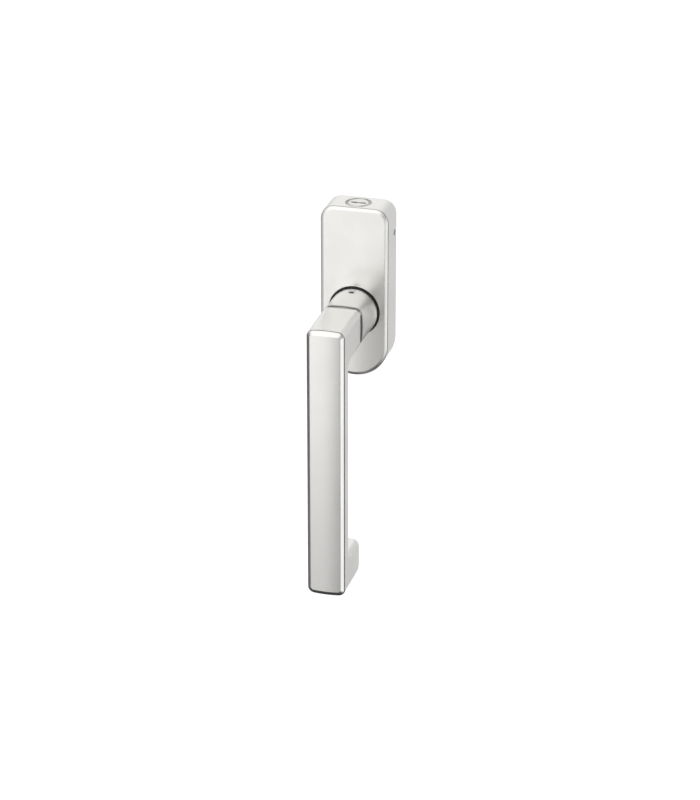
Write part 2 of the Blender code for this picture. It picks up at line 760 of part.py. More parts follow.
def make_wafers(plug_axis):
    """Thin plates with a window for the key, each free to slide across the plug."""
    for i in range(WAFER_COUNT):
        level = WAFER_FIRST + i * WAFER_PITCH
        name = f"lock_wafer_{i + 1}"
        low = (-WAFER_HALF, -WAFER_DEEP, level - WAFER_THICK / 2)
        high = (WAFER_HALF, WAFER_DEEP, level + WAFER_THICK / 2)
        wafer = box(name, low, high, plug_axis, BRASS)
        side = KEYWAY_WIDTH / 2 + FIT
        low = (-WAFER_WINDOW, -side, level - WAFER_THICK)
        high = (WAFER_WINDOW, side, level + WAFER_THICK)
        cut(wafer, box(name + "_window", low, high, plug_axis))


clear_scene()
HANDLE = new_collection("tilt_turn_handle")
HELPERS = new_collection("cutters")

ROOM = new_frame("room_frame", turn=(pi / 2, 0, 0))
make_cover_cap(ROOM)
make_base_plate(ROOM)
make_guide_ring(ROOM)
make_bearing_bush(ROOM)
make_fixing_screws(ROOM)

LEVER_AXIS = new_frame("lever_axis", turn=(pi / 2, 0, 0))
make_lever(LEVER_AXIS)
make_spindle(LEVER_AXIS)
make_detent_disc(LEVER_AXIS)
make_hub_retainer(LEVER_AXIS)
for WORD, SIDE in (("left", -1), ("right", 1)):
    make_detent(WORD, SIDE, ROOM)

LOCK = new_frame("lock_frame", place=(0, -LOCK_DEPTH, 0))
make_lock_housing(LOCK)
PLUG_AXIS = new_frame("plug_axis", parent=LOCK)
make_lock_plug(PLUG_AXIS)
make_tailpiece(PLUG_AXIS)
make_wafers(PLUG_AXIS)
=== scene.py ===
"""The finished look of a lockable tilt and turn window handle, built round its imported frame.

World axes are the frame's own: +X to the right as seen from the room, +Y into the window and
+Z up, with the origin where the spindle's axis meets the window. Sizes are in metres, written
as millimetres times MM, and a piece's outer limits come from the frame's boxes. Each
sub-assembly is a class that models its pieces, gives them their finish and seats them on the
body that carries them.
"""

import json
import logging
from dataclasses import dataclass
from enum import Enum
from math import cos, pi, radians, sin
from typing import Callable, Iterable, Sequence

import bmesh
import bpy
from bmesh.types import BMEdge, BMesh, BMFace, BMVert
from mathutils import Matrix, Vector


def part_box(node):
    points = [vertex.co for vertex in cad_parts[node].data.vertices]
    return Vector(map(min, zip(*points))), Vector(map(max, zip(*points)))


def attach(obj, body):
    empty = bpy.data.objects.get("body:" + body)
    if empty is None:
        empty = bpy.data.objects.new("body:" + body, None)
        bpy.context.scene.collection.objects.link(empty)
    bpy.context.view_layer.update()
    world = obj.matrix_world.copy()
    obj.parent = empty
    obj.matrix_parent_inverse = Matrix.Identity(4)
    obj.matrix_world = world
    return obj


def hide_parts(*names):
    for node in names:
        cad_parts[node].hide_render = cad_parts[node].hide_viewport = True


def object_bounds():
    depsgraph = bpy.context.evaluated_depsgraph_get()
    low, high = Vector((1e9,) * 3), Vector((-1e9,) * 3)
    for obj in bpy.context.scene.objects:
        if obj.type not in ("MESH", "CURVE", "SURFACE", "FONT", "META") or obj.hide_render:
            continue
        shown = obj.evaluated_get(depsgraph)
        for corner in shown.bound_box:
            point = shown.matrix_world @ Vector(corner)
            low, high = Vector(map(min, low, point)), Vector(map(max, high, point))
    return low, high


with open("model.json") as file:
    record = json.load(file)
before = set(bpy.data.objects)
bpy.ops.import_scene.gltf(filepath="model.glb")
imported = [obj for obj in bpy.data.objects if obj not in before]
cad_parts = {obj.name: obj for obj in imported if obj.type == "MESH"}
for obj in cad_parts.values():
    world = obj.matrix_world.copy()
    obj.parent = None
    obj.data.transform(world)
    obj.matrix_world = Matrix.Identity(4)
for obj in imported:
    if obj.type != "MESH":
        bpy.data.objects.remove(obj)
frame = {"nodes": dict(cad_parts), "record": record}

CAD_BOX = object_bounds()
MM = 0.001
# Two points nearer than this are one
TINY = 0.004 * MM
# How far a tool reaches past what it cuts
OVERCUT = 1.0 * MM
# Facets round a turned part
ROUND_STEPS = 96
# Angles in degrees: faces that count as one plane, an edge that is rounded, and edges that
# stay crisp in the shading of broad and of finely threaded parts
FLAT_ANGLE = 1.0
ROUNDED_ANGLE = 40.0
CRISP_ANGLE = 32.0
FINE_CRISP_ANGLE = 28.0
# The values between which most of a noise lies
NOISE_LOW, NOISE_HIGH = 0.3, 0.7
# The width of one wave of the ring pattern at a scale of one
RING_PERIOD = 0.314
# The hole across hub and spindle for the pin that keys them together
PIN_LEVEL = -10.3 * MM
PIN_HOLE = 0.95 * MM
PIN_FACETS = 24
# The face corner value that is one on rounded edges
WEAR = "edge_wear"

log = logging.getLogger("window_handle")

Object = bpy.types.Object
Material = bpy.types.Material
Socket = bpy.types.NodeSocket
Colour = tuple[float, float, float]
Point = tuple[float, float, float]


class Axis(Enum):
    """The direction that a turned piece is turned about."""

    Y = (0.0, 1.0, 0.0)
    Z = (0.0, 0.0, 1.0)

    @property
    def vector(self) -> Vector:
        """The direction as a vector."""
        return Vector(self.value)


class Body(Enum):
    """The moving groups of the handle, by the names in the frame."""

    ROSE = "rose"
    LEVER = "lever"
    PLUG = "lock_plug"


class Slot(Enum):
    """The record's material slots."""

    SATIN = "satin_aluminium"
    ZINC = "cast_zinc"
    STEEL = "zinc_plated_steel"
    SPRING = "spring_steel"
    NICKEL = "nickel_plate"
    BRASS = "brass"
    BLACK = "black_plastic"
    PALE = "pale_plastic"


# ---------------------------------------------------------------------------------------------
# Modelling helpers
# ---------------------------------------------------------------------------------------------


def start_shape() -> BMesh:
    """Opens an empty shape whose face corners carry the edge wear value.

    Returns:
        The new shape.
    """
    shape = bmesh.new()
    shape.loops.layers.float.new(WEAR)
    return shape


def edges_where(shape: BMesh, test: Callable[[Vector, Vector], bool]) -> list[BMEdge]:
    """Picks edges by their two end points.

    Args:
        shape: The shape to look through.
        test: True for the end points of a wanted edge.

    Returns:
        The edges that pass.
    """
    return [edge for edge in shape.edges if test(edge.verts[0].co, edge.verts[1].co)]


def round_edges(shape: BMesh, edges: Iterable[BMEdge], size: float, steps: int) -> list[BMFace]:
    """Bevels edges and marks the new strips as places where the finish wears first.

    Args:
        shape: The shape to bevel.
        edges: The edges to round.
        size: How far the bevel reaches on each side.
        steps: How many strips it has; one makes a flat chamfer.

    Returns:
        The new faces.
    """
    made = bmesh.ops.bevel(
        shape,
        geom=list(edges),
        offset=size,
        offset_type="OFFSET",
        segments=steps,
        profile=0.5,
        affect="EDGES",
        clamp_overlap=False,
        material=-1,
    )
    wear = shape.loops.layers.float[WEAR]
    for face in made["faces"]:
        for corner in face.loops:
            corner[wear] = 1.0
    return made["faces"]


def round_corners(shape: BMesh, corners: Iterable[BMVert], size: float, steps: int) -> None:
    """Rounds the corners of a flat outline.

    Args:
        shape: The shape that holds the outline.
        corners: The corner points to round.
        size: The radius.
        steps: How many straight steps stand for each quarter turn.
    """
    bmesh.ops.bevel(
        shape,
        geom=list(corners),
        offset=size,
        offset_type="OFFSET",
        segments=steps,
        profile=0.5,
        affect="VERTICES",
        clamp_overlap=False,
        material=-1,
    )
    bmesh.ops.remove_doubles(shape, verts=shape.verts, dist=TINY)


def extrude_all(shape: BMesh, step: Vector) -> None:
    """Pulls every face of a flat shape along a step, which makes it a closed solid.

    Args:
        shape: The flat shape.
        step: Where its copy goes.
    """
    made = bmesh.ops.extrude_face_region(shape, geom=list(shape.faces))
    moved = [part for part in made["geom"] if isinstance(part, BMVert)]
    bmesh.ops.translate(shape, verts=moved, vec=step)
    bmesh.ops.recalc_face_normals(shape, faces=shape.faces)


def flat_outline(points: Sequence[Point]) -> BMesh:
    """Makes one face from its corner points.

    Args:
        points: The corners in order.

    Returns:
        A shape with that face alone.
    """
    shape = start_shape()
    shape.faces.new([shape.verts.new(point) for point in points])
    return shape


def block(low: Vector, high: Vector) -> BMesh:
    """A box between two corners.

    Args:
        low: The lowest corner.
        high: The highest corner.

    Returns:
        The box.
    """
    shape = start_shape()
    bmesh.ops.create_cube(shape, size=1.0)
    bmesh.ops.scale(shape, vec=high - low, verts=shape.verts)
    bmesh.ops.translate(shape, vec=(low + high) / 2, verts=shape.verts)
    return shape


def turned(
    profile: Sequence[tuple[float, float]], axis: Axis, centre: Vector, steps: int = ROUND_STEPS
) -> BMesh:
    """Spins a profile of (radius, height) points about an axis.

    Args:
        profile: The section. It is closed by the axis, or by itself when no point is on the axis.
        axis: The direction of the heights.
        centre: The point on the axis with height zero.
        steps: How many facets go round.

    Returns:
        The turned solid.
    """
    shape = start_shape()
    spots = [
        shape.verts.new(centre + Vector((radius, 0, 0)) + axis.vector * height)
        for radius, height in profile
    ]
    pairs = list(zip(spots, spots[1:]))
    if all(radius > TINY for radius, _ in profile):
        pairs.append((spots[-1], spots[0]))
    section = [shape.edges.new(pair) for pair in pairs]
    bmesh.ops.spin(
        shape,
        geom=[*spots, *section],
        cent=centre,
        axis=axis.vector,
        angle=2 * pi,
        steps=steps,
        use_merge=True,
    )
    bmesh.ops.remove_doubles(shape, verts=shape.verts, dist=TINY)
    bmesh.ops.recalc_face_normals(shape, faces=shape.faces)
    return shape


def shoulder(
    radius: float, front: float, size: float, span: float, steps: int
) -> list[tuple[float, float]]:
    """A soft shoulder at the front end of a turned part.

    Args:
        radius: The part's full radius.
        front: The height of its front end.
        size: The shoulder's own radius.
        span: How far round it curves, in degrees.
        steps: How many straight steps it has.

    Returns:
        The section's points from the front end to the full radius.
    """
    turns = [radians(span) * (1 - i / steps) for i in range(steps + 1)]
    length = size * sin(radians(span))
    return [(radius - size * (1 - cos(a)), front + length - size * sin(a)) for a in turns]


def pin_drill(length: float) -> BMesh:
    """A straight round tool for the hole of the pin across hub and spindle.

    Args:
        length: How long it is.

    Returns:
        The tool.
    """
    shape = start_shape()
    bmesh.ops.create_cone(
        shape,
        cap_ends=True,
        segments=PIN_FACETS,
        radius1=PIN_HOLE,
        radius2=PIN_HOLE,
        depth=length,
        matrix=Matrix.Translation((0, PIN_LEVEL, 0)) @ Matrix.Rotation(pi / 2, 4, "Y"),
    )
    return shape


def face_up(shape: BMesh, facet: float, rise: float) -> BMFace:
    """Raises the front face inside a border of flat facets.

    Args:
        shape: The closed shape, whose front face looks along -Y.
        facet: How wide the border is.
        rise: How far the front moves forward.

    Returns:
        The raised front face.
    """
    panel = min(shape.faces, key=lambda face: face.calc_center_median().y)
    bmesh.ops.inset_region(shape, faces=[panel], thickness=facet, use_even_offset=True)
    bmesh.ops.translate(shape, verts=panel.verts, vec=(0, -rise, 0))
    return panel


def round_front(shape: BMesh, level: float, size: float, steps: int) -> None:
    """Rounds the edges that lie in an upright plane.

    Args:
        shape: The shape.
        level: The plane's place along Y.
        size: The size of the rounding.
        steps: How many strips it has.
    """
    round_edges(
        shape,
        edges_where(shape, lambda a, b: max(abs(a.y - level), abs(b.y - level)) < TINY),
        size,
        steps,
    )


def new_piece(name: str, shape: BMesh) -> Object:
    """Makes an object of a shape, smooth across its small angles and crisp at its large ones.

    Args:
        name: The piece's name.
        shape: The shape, which is freed.

    Returns:
        The piece, linked to the scene.
    """
    mesh = bpy.data.meshes.new(name)
    shape.to_mesh(mesh)
    shape.free()
    mesh.shade_smooth()
    mesh.set_sharp_from_angle(angle=radians(CRISP_ANGLE))
    piece = bpy.data.objects.new(name, mesh)
    bpy.context.scene.collection.objects.link(piece)
    return piece


def settle(piece: Object) -> None:
    """Applies a piece's modifiers to its mesh.

    Args:
        piece: The piece to settle.
    """
    graph = bpy.context.evaluated_depsgraph_get()
    mesh = bpy.data.meshes.new_from_object(piece.evaluated_get(graph))
    old = piece.data
    piece.modifiers.clear()
    piece.data = mesh
    bpy.data.meshes.remove(old)
    mesh.name = piece.name


def merge(piece: Object, shapes: Iterable[BMesh], operation: str = "DIFFERENCE") -> None:
    """Cuts shapes out of a piece, or joins them to it.

    Args:
        piece: The piece to work on.
        shapes: The tools, which are freed.
        operation: DIFFERENCE to cut or UNION to join.
    """
    tools = [new_piece(f"{piece.name}_tool", shape) for shape in shapes]
    for tool in tools:
        step = piece.modifiers.new(operation.lower(), "BOOLEAN")
        step.operation = operation
        step.object = tool
        step.solver = "EXACT"
    settle(piece)
    for tool in tools:
        mesh = tool.data
        bpy.data.objects.remove(tool, do_unlink=True)
        bpy.data.meshes.remove(mesh)


def reshape(piece: Object, work: Callable[[BMesh], None]) -> None:
    """Opens a piece's mesh for one more modelling step.

    Args:
        piece: The piece to change.
        work: The step, which is given the open shape.
    """
    shape = bmesh.new()
    shape.from_mesh(piece.data)
    bmesh.ops.remove_doubles(shape, verts=shape.verts, dist=TINY / 4)
    work(shape)
    shape.to_mesh(piece.data)
    shape.free()


def even_shading(piece: Object, sharp: float = CRISP_ANGLE) -> None:
    """Lets the broad faces lead the shading, so that roundings blend into flat faces.

    Args:
        piece: The piece to finish.
        sharp: The angle in degrees past which an edge stays crisp.
    """
    piece.data.shade_smooth()
    piece.data.set_sharp_from_angle(angle=radians(sharp))
    normals = piece.modifiers.new("even_shading", "WEIGHTED_NORMAL")
    normals.keep_sharp = True
    settle(piece)


def refined_copy(
    node: str,
    name: str,
    edge: float,
    test: Callable[[Vector], bool] = lambda spot: True,
) -> Object:
    """Copies a frame node and gives its crisp outer edges a fine rounding.

    Args:
        node: The frame node to copy.
        name: The new piece's name.
        edge: The size of the rounding.
        test: True for an end point of an edge that may be rounded.

    Returns:
        The new piece.
    """
    shape = bmesh.new()
    shape.from_mesh(frame["nodes"][node].data)
    shape.loops.layers.float.new(WEAR)
    bmesh.ops.remove_doubles(shape, verts=shape.verts, dist=TINY)
    bmesh.ops.dissolve_limit(
        shape, angle_limit=radians(FLAT_ANGLE), verts=list(shape.verts), edges=list(shape.edges)
    )
    crisp = [
        line
        for line in shape.edges
        if line.is_manifold
        and line.calc_face_angle_signed() > radians(ROUNDED_ANGLE)
        and all(test(spot.co) for spot in line.verts)
    ]
    round_edges(shape, crisp, edge, 2)
    bmesh.ops.recalc_face_normals(shape, faces=shape.faces)
    for layer in list(shape.loops.layers.uv):
        shape.loops.layers.uv.remove(layer)
    piece = new_piece(name, shape)
    piece.data.materials.clear()
    return piece


# ---------------------------------------------------------------------------------------------
# Finishes
# ---------------------------------------------------------------------------------------------


class Bench:
    """A material's node tree with short calls to add and join its nodes."""

    def __init__(self, name: str) -> None:
        """Opens a new material with its surface shader.

        Args:
            name: The material's name.
        """
        self.material = bpy.data.materials.new(name)
        self.material.use_nodes = True
        self.nodes = self.material.node_tree.nodes
        self.links = self.material.node_tree.links
        self.shader = self.nodes["Principled BSDF"]
        self.place = self.nodes.new("ShaderNodeTexCoord").outputs["Object"]

    def put(self, socket: Socket, value: object) -> None:
        """Joins a socket to another, or sets its value.

        Args:
            socket: The input to fill.
            value: Another node's output, or a plain value.
        """
        if isinstance(value, bpy.types.NodeSocket):
            self.links.new(value, socket)
        else:
            socket.default_value = value

    def noise(self, size: float, detail: float = 2.0, stretch: Point = (1, 1, 1)) -> Socket:
        """Cloudy noise whose spots have a size in metres.

        Args:
            size: How wide the spots are.
            detail: How much finer noise is added.
            stretch: How densely the spots lie along X, Y and Z.

        Returns:
            The noise as a value from 0 to 1.
        """
        place = self.nodes.new("ShaderNodeMapping")
        place.inputs["Scale"].default_value = stretch
        self.links.new(self.place, place.inputs["Vector"])
        made = self.nodes.new("ShaderNodeTexNoise")
        made.inputs["Scale"].default_value = 1.0 / size
        made.inputs["Detail"].default_value = detail
        self.links.new(place.outputs["Vector"], made.inputs["Vector"])
        return made.outputs["Fac"]

    def pits(self, size: float) -> Socket:
        """Small round pits, as on a casting.

        Args:
            size: How far apart the pits are.

        Returns:
            The distance to the nearest pit.
        """
        made = self.nodes.new("ShaderNodeTexVoronoi")
        made.feature = "SMOOTH_F1"
        made.inputs["Scale"].default_value = 1.0 / size
        self.links.new(self.place, made.inputs["Vector"])
        return made.outputs["Distance"]

    def rings(self, centre: Vector, axis: Axis, spacing: float, wander: float) -> Socket:
        """Fine circles round an axis, as a lathe leaves them.

        Args:
            centre: A point on the axis.
            axis: The axis the circles go round.
            spacing: How far apart they are.
            wander: How far they stray from true circles.

        Returns:
            The pattern as a value from 0 to 1.
        """
        place = self.nodes.new("ShaderNodeMapping")
        place.inputs["Location"].default_value = -centre
        self.links.new(self.place, place.inputs["Vector"])
        made = self.nodes.new("ShaderNodeTexWave")
        made.wave_type = "RINGS"
        made.rings_direction = axis.name
        made.inputs["Scale"].default_value = RING_PERIOD / spacing
        made.inputs["Distortion"].default_value = wander
        self.links.new(place.outputs["Vector"], made.inputs["Vector"])
        return made.outputs["Fac"]

    def worn(self) -> Socket:
        """Reads the edge wear value on the mesh.

        Returns:
            How much the finish is worn here, from 0 to 1.
        """
        made = self.nodes.new("ShaderNodeAttribute")
        made.attribute_name = WEAR
        return made.outputs["Fac"]

    def span(self, value: Socket, low: float, high: float) -> Socket:
        """Maps most of a noise onto a wanted range.

        Args:
            value: The noise.
            low: The result where the noise is low.
            high: The result where it is high.

        Returns:
            The mapped value.
        """
        made = self.nodes.new("ShaderNodeMapRange")
        made.inputs["From Min"].default_value = NOISE_LOW
        made.inputs["From Max"].default_value = NOISE_HIGH
        made.inputs["To Min"].default_value = low
        made.inputs["To Max"].default_value = high
        self.links.new(value, made.inputs["Value"])
        return made.outputs["Result"]

    def sum(self, first: object, second: object, operation: str = "ADD") -> Socket:
        """Adds two values, or joins them by another operation.

        Args:
            first: A value or output.
            second: A value or output.
            operation: The name of the operation.

        Returns:
            The result.
        """
        made = self.nodes.new("ShaderNodeMath")
        made.operation = operation
        self.put(made.inputs[0], first)
        self.put(made.inputs[1], second)
        return made.outputs["Value"]

    def weigh(
        self, first: Socket, first_share: float, second: Socket, second_share: float
    ) -> Socket:
        """Adds two patterns, each with its own share.

        Args:
            first: One pattern.
            first_share: How much of it shows.
            second: The other pattern.
            second_share: How much of that shows.

        Returns:
            The joined pattern.
        """
        return self.sum(
            self.sum(first, first_share, "MULTIPLY"), self.sum(second, second_share, "MULTIPLY")
        )

    def blend(self, share: Socket, first: object, second: object) -> Socket:
        """Blends two colours.

        Args:
            share: How much of the second colour shows.
            first: A colour or output.
            second: A colour or output.

        Returns:
            The blended colour.
        """
        made = self.nodes.new("ShaderNodeMix")
        made.data_type = "RGBA"
        colours = [socket for socket in made.inputs if socket.type == "RGBA"]
        self.put(made.inputs[0], share)
        self.put(colours[0], first)
        self.put(colours[1], second)
        return next(socket for socket in made.outputs if socket.type == "RGBA")

    def relief(self, height: Socket, depth: float, strength: float) -> None:
        """Joins a height to the shader's normal.

        Args:
            height: The height as a value from 0 to 1.
            depth: The real depth that 1 stands for.
            strength: How strongly it shows.
        """
        made = self.nodes.new("ShaderNodeBump")
        made.inputs["Strength"].default_value = strength
        made.inputs["Distance"].default_value = depth
        self.links.new(height, made.inputs["Height"])
        self.links.new(made.outputs["Normal"], self.shader.inputs["Normal"])


def tint(colour: Colour, factor: float) -> tuple[float, float, float, float]:
    """A colour made lighter or darker, with full cover.

    Args:
        colour: The colour.
        factor: What its values are multiplied by.

    Returns:
        The new colour with an alpha of one.
    """
    return (*(min(1.0, value * factor) for value in colour), 1.0)


@dataclass(frozen=True)
class Finish:
    """The shared make-up of every finish: patches of tone, a fine grain and worn edges.

    Attributes:
        slot: The record's slot that the finish stands for.
        colour: The surface colour.
        metallic: One for bare or plated metal and zero for plastic.
        roughness: The smoothest and the roughest value on the surface.
        spread: How far the tone wanders either way, as a share of the colour.
        patch: The size of the patches of tone.
        wear: How far worn edges go towards the wear tint.
        wear_tint: What the colour is multiplied by where it is worn.
        wear_patch: The size of the patches in which the wear comes and goes.
        wear_least: The share of the wear that is left between those patches.
        wear_polish: How much smoother a fully worn edge is.
        drift: How far the roughness wanders with the patches of tone.
    """

    slot: Slot
    colour: Colour
    metallic: float = 1.0
    roughness: tuple[float, float] = (0.3, 0.4)
    spread: float = 0.03
    patch: float = 9 * MM
    wear: float = 0.5
    wear_tint: float = 1.12
    wear_patch: float = 1.3 * MM
    wear_least: float = 0.35
    wear_polish: float = 0.08
    drift: float = 0.015

    def grain(self, bench: Bench) -> Socket:
        """The fine pattern of the surface.

        Args:
            bench: The material being made.

        Returns:
            The pattern as a value from 0 to 1.
        """
        return bench.noise(0.25 * MM, detail=3)

    def grain_depth(self) -> tuple[float, float]:
        """The depth of the grain and how strongly it shows."""
        return 0.01 * MM, 0.3

    def material(self) -> Material:
        """Builds the material, or returns it when it is already there.

        Returns:
            The material.
        """
        name = f"{self.slot.value}_finish"
        found = bpy.data.materials.get(name)
        if found:
            return found
        bench = Bench(name)
        tone = bench.span(bench.noise(self.patch, detail=4), 0.0, 1.0)
        grain = self.grain(bench)
        low, high = tint(self.colour, 1 - self.spread), tint(self.colour, 1 + self.spread)
        base = bench.blend(tone, low, high)
        worn = bench.sum(bench.worn(), self.wear, "MULTIPLY")
        uneven = bench.span(bench.noise(self.wear_patch), self.wear_least, 1.0)
        worn = bench.sum(worn, uneven, "MULTIPLY")
        base = bench.blend(worn, base, tint(self.colour, self.wear_tint))
        bench.put(bench.shader.inputs["Base Color"], base)
        bench.shader.inputs["Metallic"].default_value = self.metallic
        smooth, rough = self.roughness
        sheen = bench.span(grain, smooth, rough)
        sheen = bench.sum(sheen, bench.span(tone, -self.drift, self.drift))
        polish = bench.sum(worn, self.wear_polish, "MULTIPLY")
        sheen = bench.sum(sheen, polish, "SUBTRACT")
        bench.put(bench.shader.inputs["Roughness"], sheen)
        bench.relief(grain, *self.grain_depth())
        return bench.material


@dataclass(frozen=True)
class SatinAnodised(Finish):
    """Natural anodised aluminium: an even matt etch with a faint drawn line under it.

    Attributes:
        etch: The size of the etched spots.
        etch_share: How much of the pattern is etch.
        line: The width of the drawn lines.
        line_stretch: How densely the lines' noise lies along X, Y and Z.
        line_share: How much of the pattern is drawn lines.
    """

    etch: float = 0.16 * MM
    etch_share: float = 0.75
    line: float = 0.09 * MM
    line_stretch: Point = (1.0, 1.0, 0.02)
    line_share: float = 0.25

    def grain(self, bench: Bench) -> Socket:
        """An even etch with faint lines along the length.

        Args:
            bench: The material being made.

        Returns:
            The pattern as a value from 0 to 1.
        """
        etched = bench.noise(self.etch, detail=3)
        drawn = bench.noise(self.line, detail=1, stretch=self.line_stretch)
        return bench.weigh(etched, self.etch_share, drawn, self.line_share)

    def grain_depth(self) -> tuple[float, float]:
        """A very shallow relief."""
        return 0.004 * MM, 0.25


@dataclass(frozen=True)
class DieCast(Finish):
    """Raw zinc casting: a coarse skin with small pits.

    Attributes:
        skin: The size of the skin's clouds.
        skin_share: How much of the pattern is skin.
        pit: How far apart the pits are.
        pit_share: How much of the pattern is pits.
    """

    skin: float = 0.5 * MM
    skin_share: float = 0.7
    pit: float = 0.9 * MM
    pit_share: float = 0.3

    def grain(self, bench: Bench) -> Socket:
        """Cloudy skin and pits together.

        Args:
            bench: The material being made.

        Returns:
            The pattern as a value from 0 to 1.
        """
        skin = bench.noise(self.skin, detail=6)
        return bench.weigh(skin, self.skin_share, bench.pits(self.pit), self.pit_share)

    def grain_depth(self) -> tuple[float, float]:
        """A relief that can be felt."""
        return 0.06 * MM, 0.5


@dataclass(frozen=True)
class DrawnSteel(Finish):
    """Plated or oiled metal with lines along the direction it was drawn in.

    Attributes:
        lines: How densely the lines' noise lies along X, Y and Z.
        line_size: The width of the lines.
    """

    lines: Point = (1.0, 0.03, 1.0)
    line_size: float = 0.12 * MM

    def grain(self, bench: Bench) -> Socket:
        """Long thin lines."""
        return bench.noise(self.line_size, detail=2, stretch=self.lines)

    def grain_depth(self) -> tuple[float, float]:
        """Fine drawn lines."""
        return 0.012 * MM, 0.35


@dataclass(frozen=True)
class TurnedNickel(Finish):
    """Satin nickel over turned brass: faint rings round the lock's axis.

    Attributes:
        ring: How far apart the turning rings are.
        ring_wander: How far they stray from true circles.
        ring_share: How much of the pattern is rings.
        plate: The size of the plate's own grain.
        plate_share: How much of the pattern is that grain.
    """

    ring: float = 0.12 * MM
    ring_wander: float = 0.6
    ring_share: float = 0.35
    plate: float = 0.1 * MM
    plate_share: float = 0.6

    def grain(self, bench: Bench) -> Socket:
        """Turning rings softened by the plate's own grain.

        Args:
            bench: The material being made.

        Returns:
            The pattern as a value from 0 to 1.
        """
        low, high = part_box("lock_plug")
        rings = bench.rings((low + high) / 2, Axis.Z, self.ring, self.ring_wander)
        plate = bench.noise(self.plate, detail=3)
        return bench.weigh(rings, self.ring_share, plate, self.plate_share)

    def grain_depth(self) -> tuple[float, float]:
        """Almost polished."""
        return 0.006 * MM, 0.3


@dataclass(frozen=True)
class Moulded(Finish):
    """Moulded plastic with a fine eroded texture."""

    def grain(self, bench: Bench) -> Socket:
        """The tool's spark eroded texture."""
        return bench.noise(0.12 * MM, detail=4)

    def grain_depth(self) -> tuple[float, float]:
        """A fine matt texture."""
        return 0.02 * MM, 0.4


FINISHES: dict[Slot, Finish] = {
    Slot.SATIN: SatinAnodised(
        Slot.SATIN,
        (0.81, 0.803, 0.782),
        roughness=(0.27, 0.34),
        spread=0.012,
        patch=14 * MM,
        wear=0.35,
    ),
    Slot.ZINC: DieCast(Slot.ZINC, (0.46, 0.465, 0.47), roughness=(0.42, 0.62), spread=0.09),
    Slot.STEEL: DrawnSteel(Slot.STEEL, (0.66, 0.67, 0.68), roughness=(0.22, 0.40), spread=0.06),
    Slot.SPRING: DrawnSteel(
        Slot.SPRING, (0.30, 0.30, 0.31), roughness=(0.20, 0.36), spread=0.10, lines=(0.3, 0.3, 0.3)
    ),
    Slot.NICKEL: TurnedNickel(Slot.NICKEL, (0.74, 0.73, 0.70), roughness=(0.18, 0.30), spread=0.02),
    Slot.BRASS: DrawnSteel(
        Slot.BRASS, (0.76, 0.60, 0.32), roughness=(0.25, 0.42), spread=0.08, lines=(0.05, 1.0, 1.0)
    ),
    Slot.BLACK: Moulded(
        Slot.BLACK,
        (0.018, 0.018, 0.019),
        metallic=0.0,
        roughness=(0.36, 0.50),
        spread=0.15,
        wear_tint=2.2,
    ),
    Slot.PALE: Moulded(
        Slot.PALE,
        (0.80, 0.80, 0.77),
        metallic=0.0,
        roughness=(0.42, 0.55),
        wear_tint=0.95,
    ),
}


# ---------------------------------------------------------------------------------------------
# Sub-assemblies
# ---------------------------------------------------------------------------------------------


def record_slot(node: str) -> Slot:
    """The material slot that the record gives a frame node.

    Args:
        node: The node's name.

    Returns:
        Its slot.
    """
    subparts = frame["record"]["subparts"]
    return next(Slot(part["material_slot"]) for part in subparts if part["node"] == node)


class SubAssembly:
    """What every sub-assembly does with a finished piece."""

    def seat(self, piece: Object, slot: Slot, body: Body, *nodes: str) -> Object:
        """Gives a piece its finish, seats it on its body and hides the nodes it stands for.

        Args:
            piece: The finished piece.
            slot: The slot of its finish.
            body: The body that carries it.
            *nodes: The frame nodes it replaces.

        Returns:
            The same piece.
        """
        piece.data.materials.clear()
        piece.data.materials.append(FINISHES[slot].material())
        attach(piece, body.value)
        if nodes:
            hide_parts(*nodes)
        faces = len(piece.data.polygons)
        log.info("%s: %d faces, %s, on %s", piece.name, faces, slot.value, body.value)
        return piece


@dataclass
class RoseOutline:
    """The rose's upright outline: rounded upper corners and a half round lower end.

    Attributes:
        width: The full width.
        low: The height of the lower end.
        high: The height of the upper end.
        corner: The radius of the upper corners.
        steps: How many straight steps stand for a quarter turn of an upper corner.
    """

    width: float
    low: float
    high: float
    corner: float
    steps: int = 12

    def slab(self, inset: float, rear: float, front: float) -> BMesh:
        """The outline, drawn inwards by an inset, as a slab.

        Args:
            inset: How far inside the outline it is drawn.
            rear: The slab's rear face along Y.
            front: Its front face along Y.

        Returns:
            The slab.
        """
        half = self.width / 2 - inset
        low, high = self.low + inset, self.high - inset
        spots = [(-half, rear, low), (half, rear, low), (half, rear, high), (-half, rear, high)]
        shape = flat_outline(spots)
        lower = [spot for spot in shape.verts if spot.co.z < low + TINY]
        round_corners(shape, lower, half, 2 * self.steps)
        upper = [spot for spot in shape.verts if spot.co.z > high - TINY]
        round_corners(shape, upper, self.corner - inset, self.steps)
        extrude_all(shape, Vector((0, front - rear, 0)))
        return shape


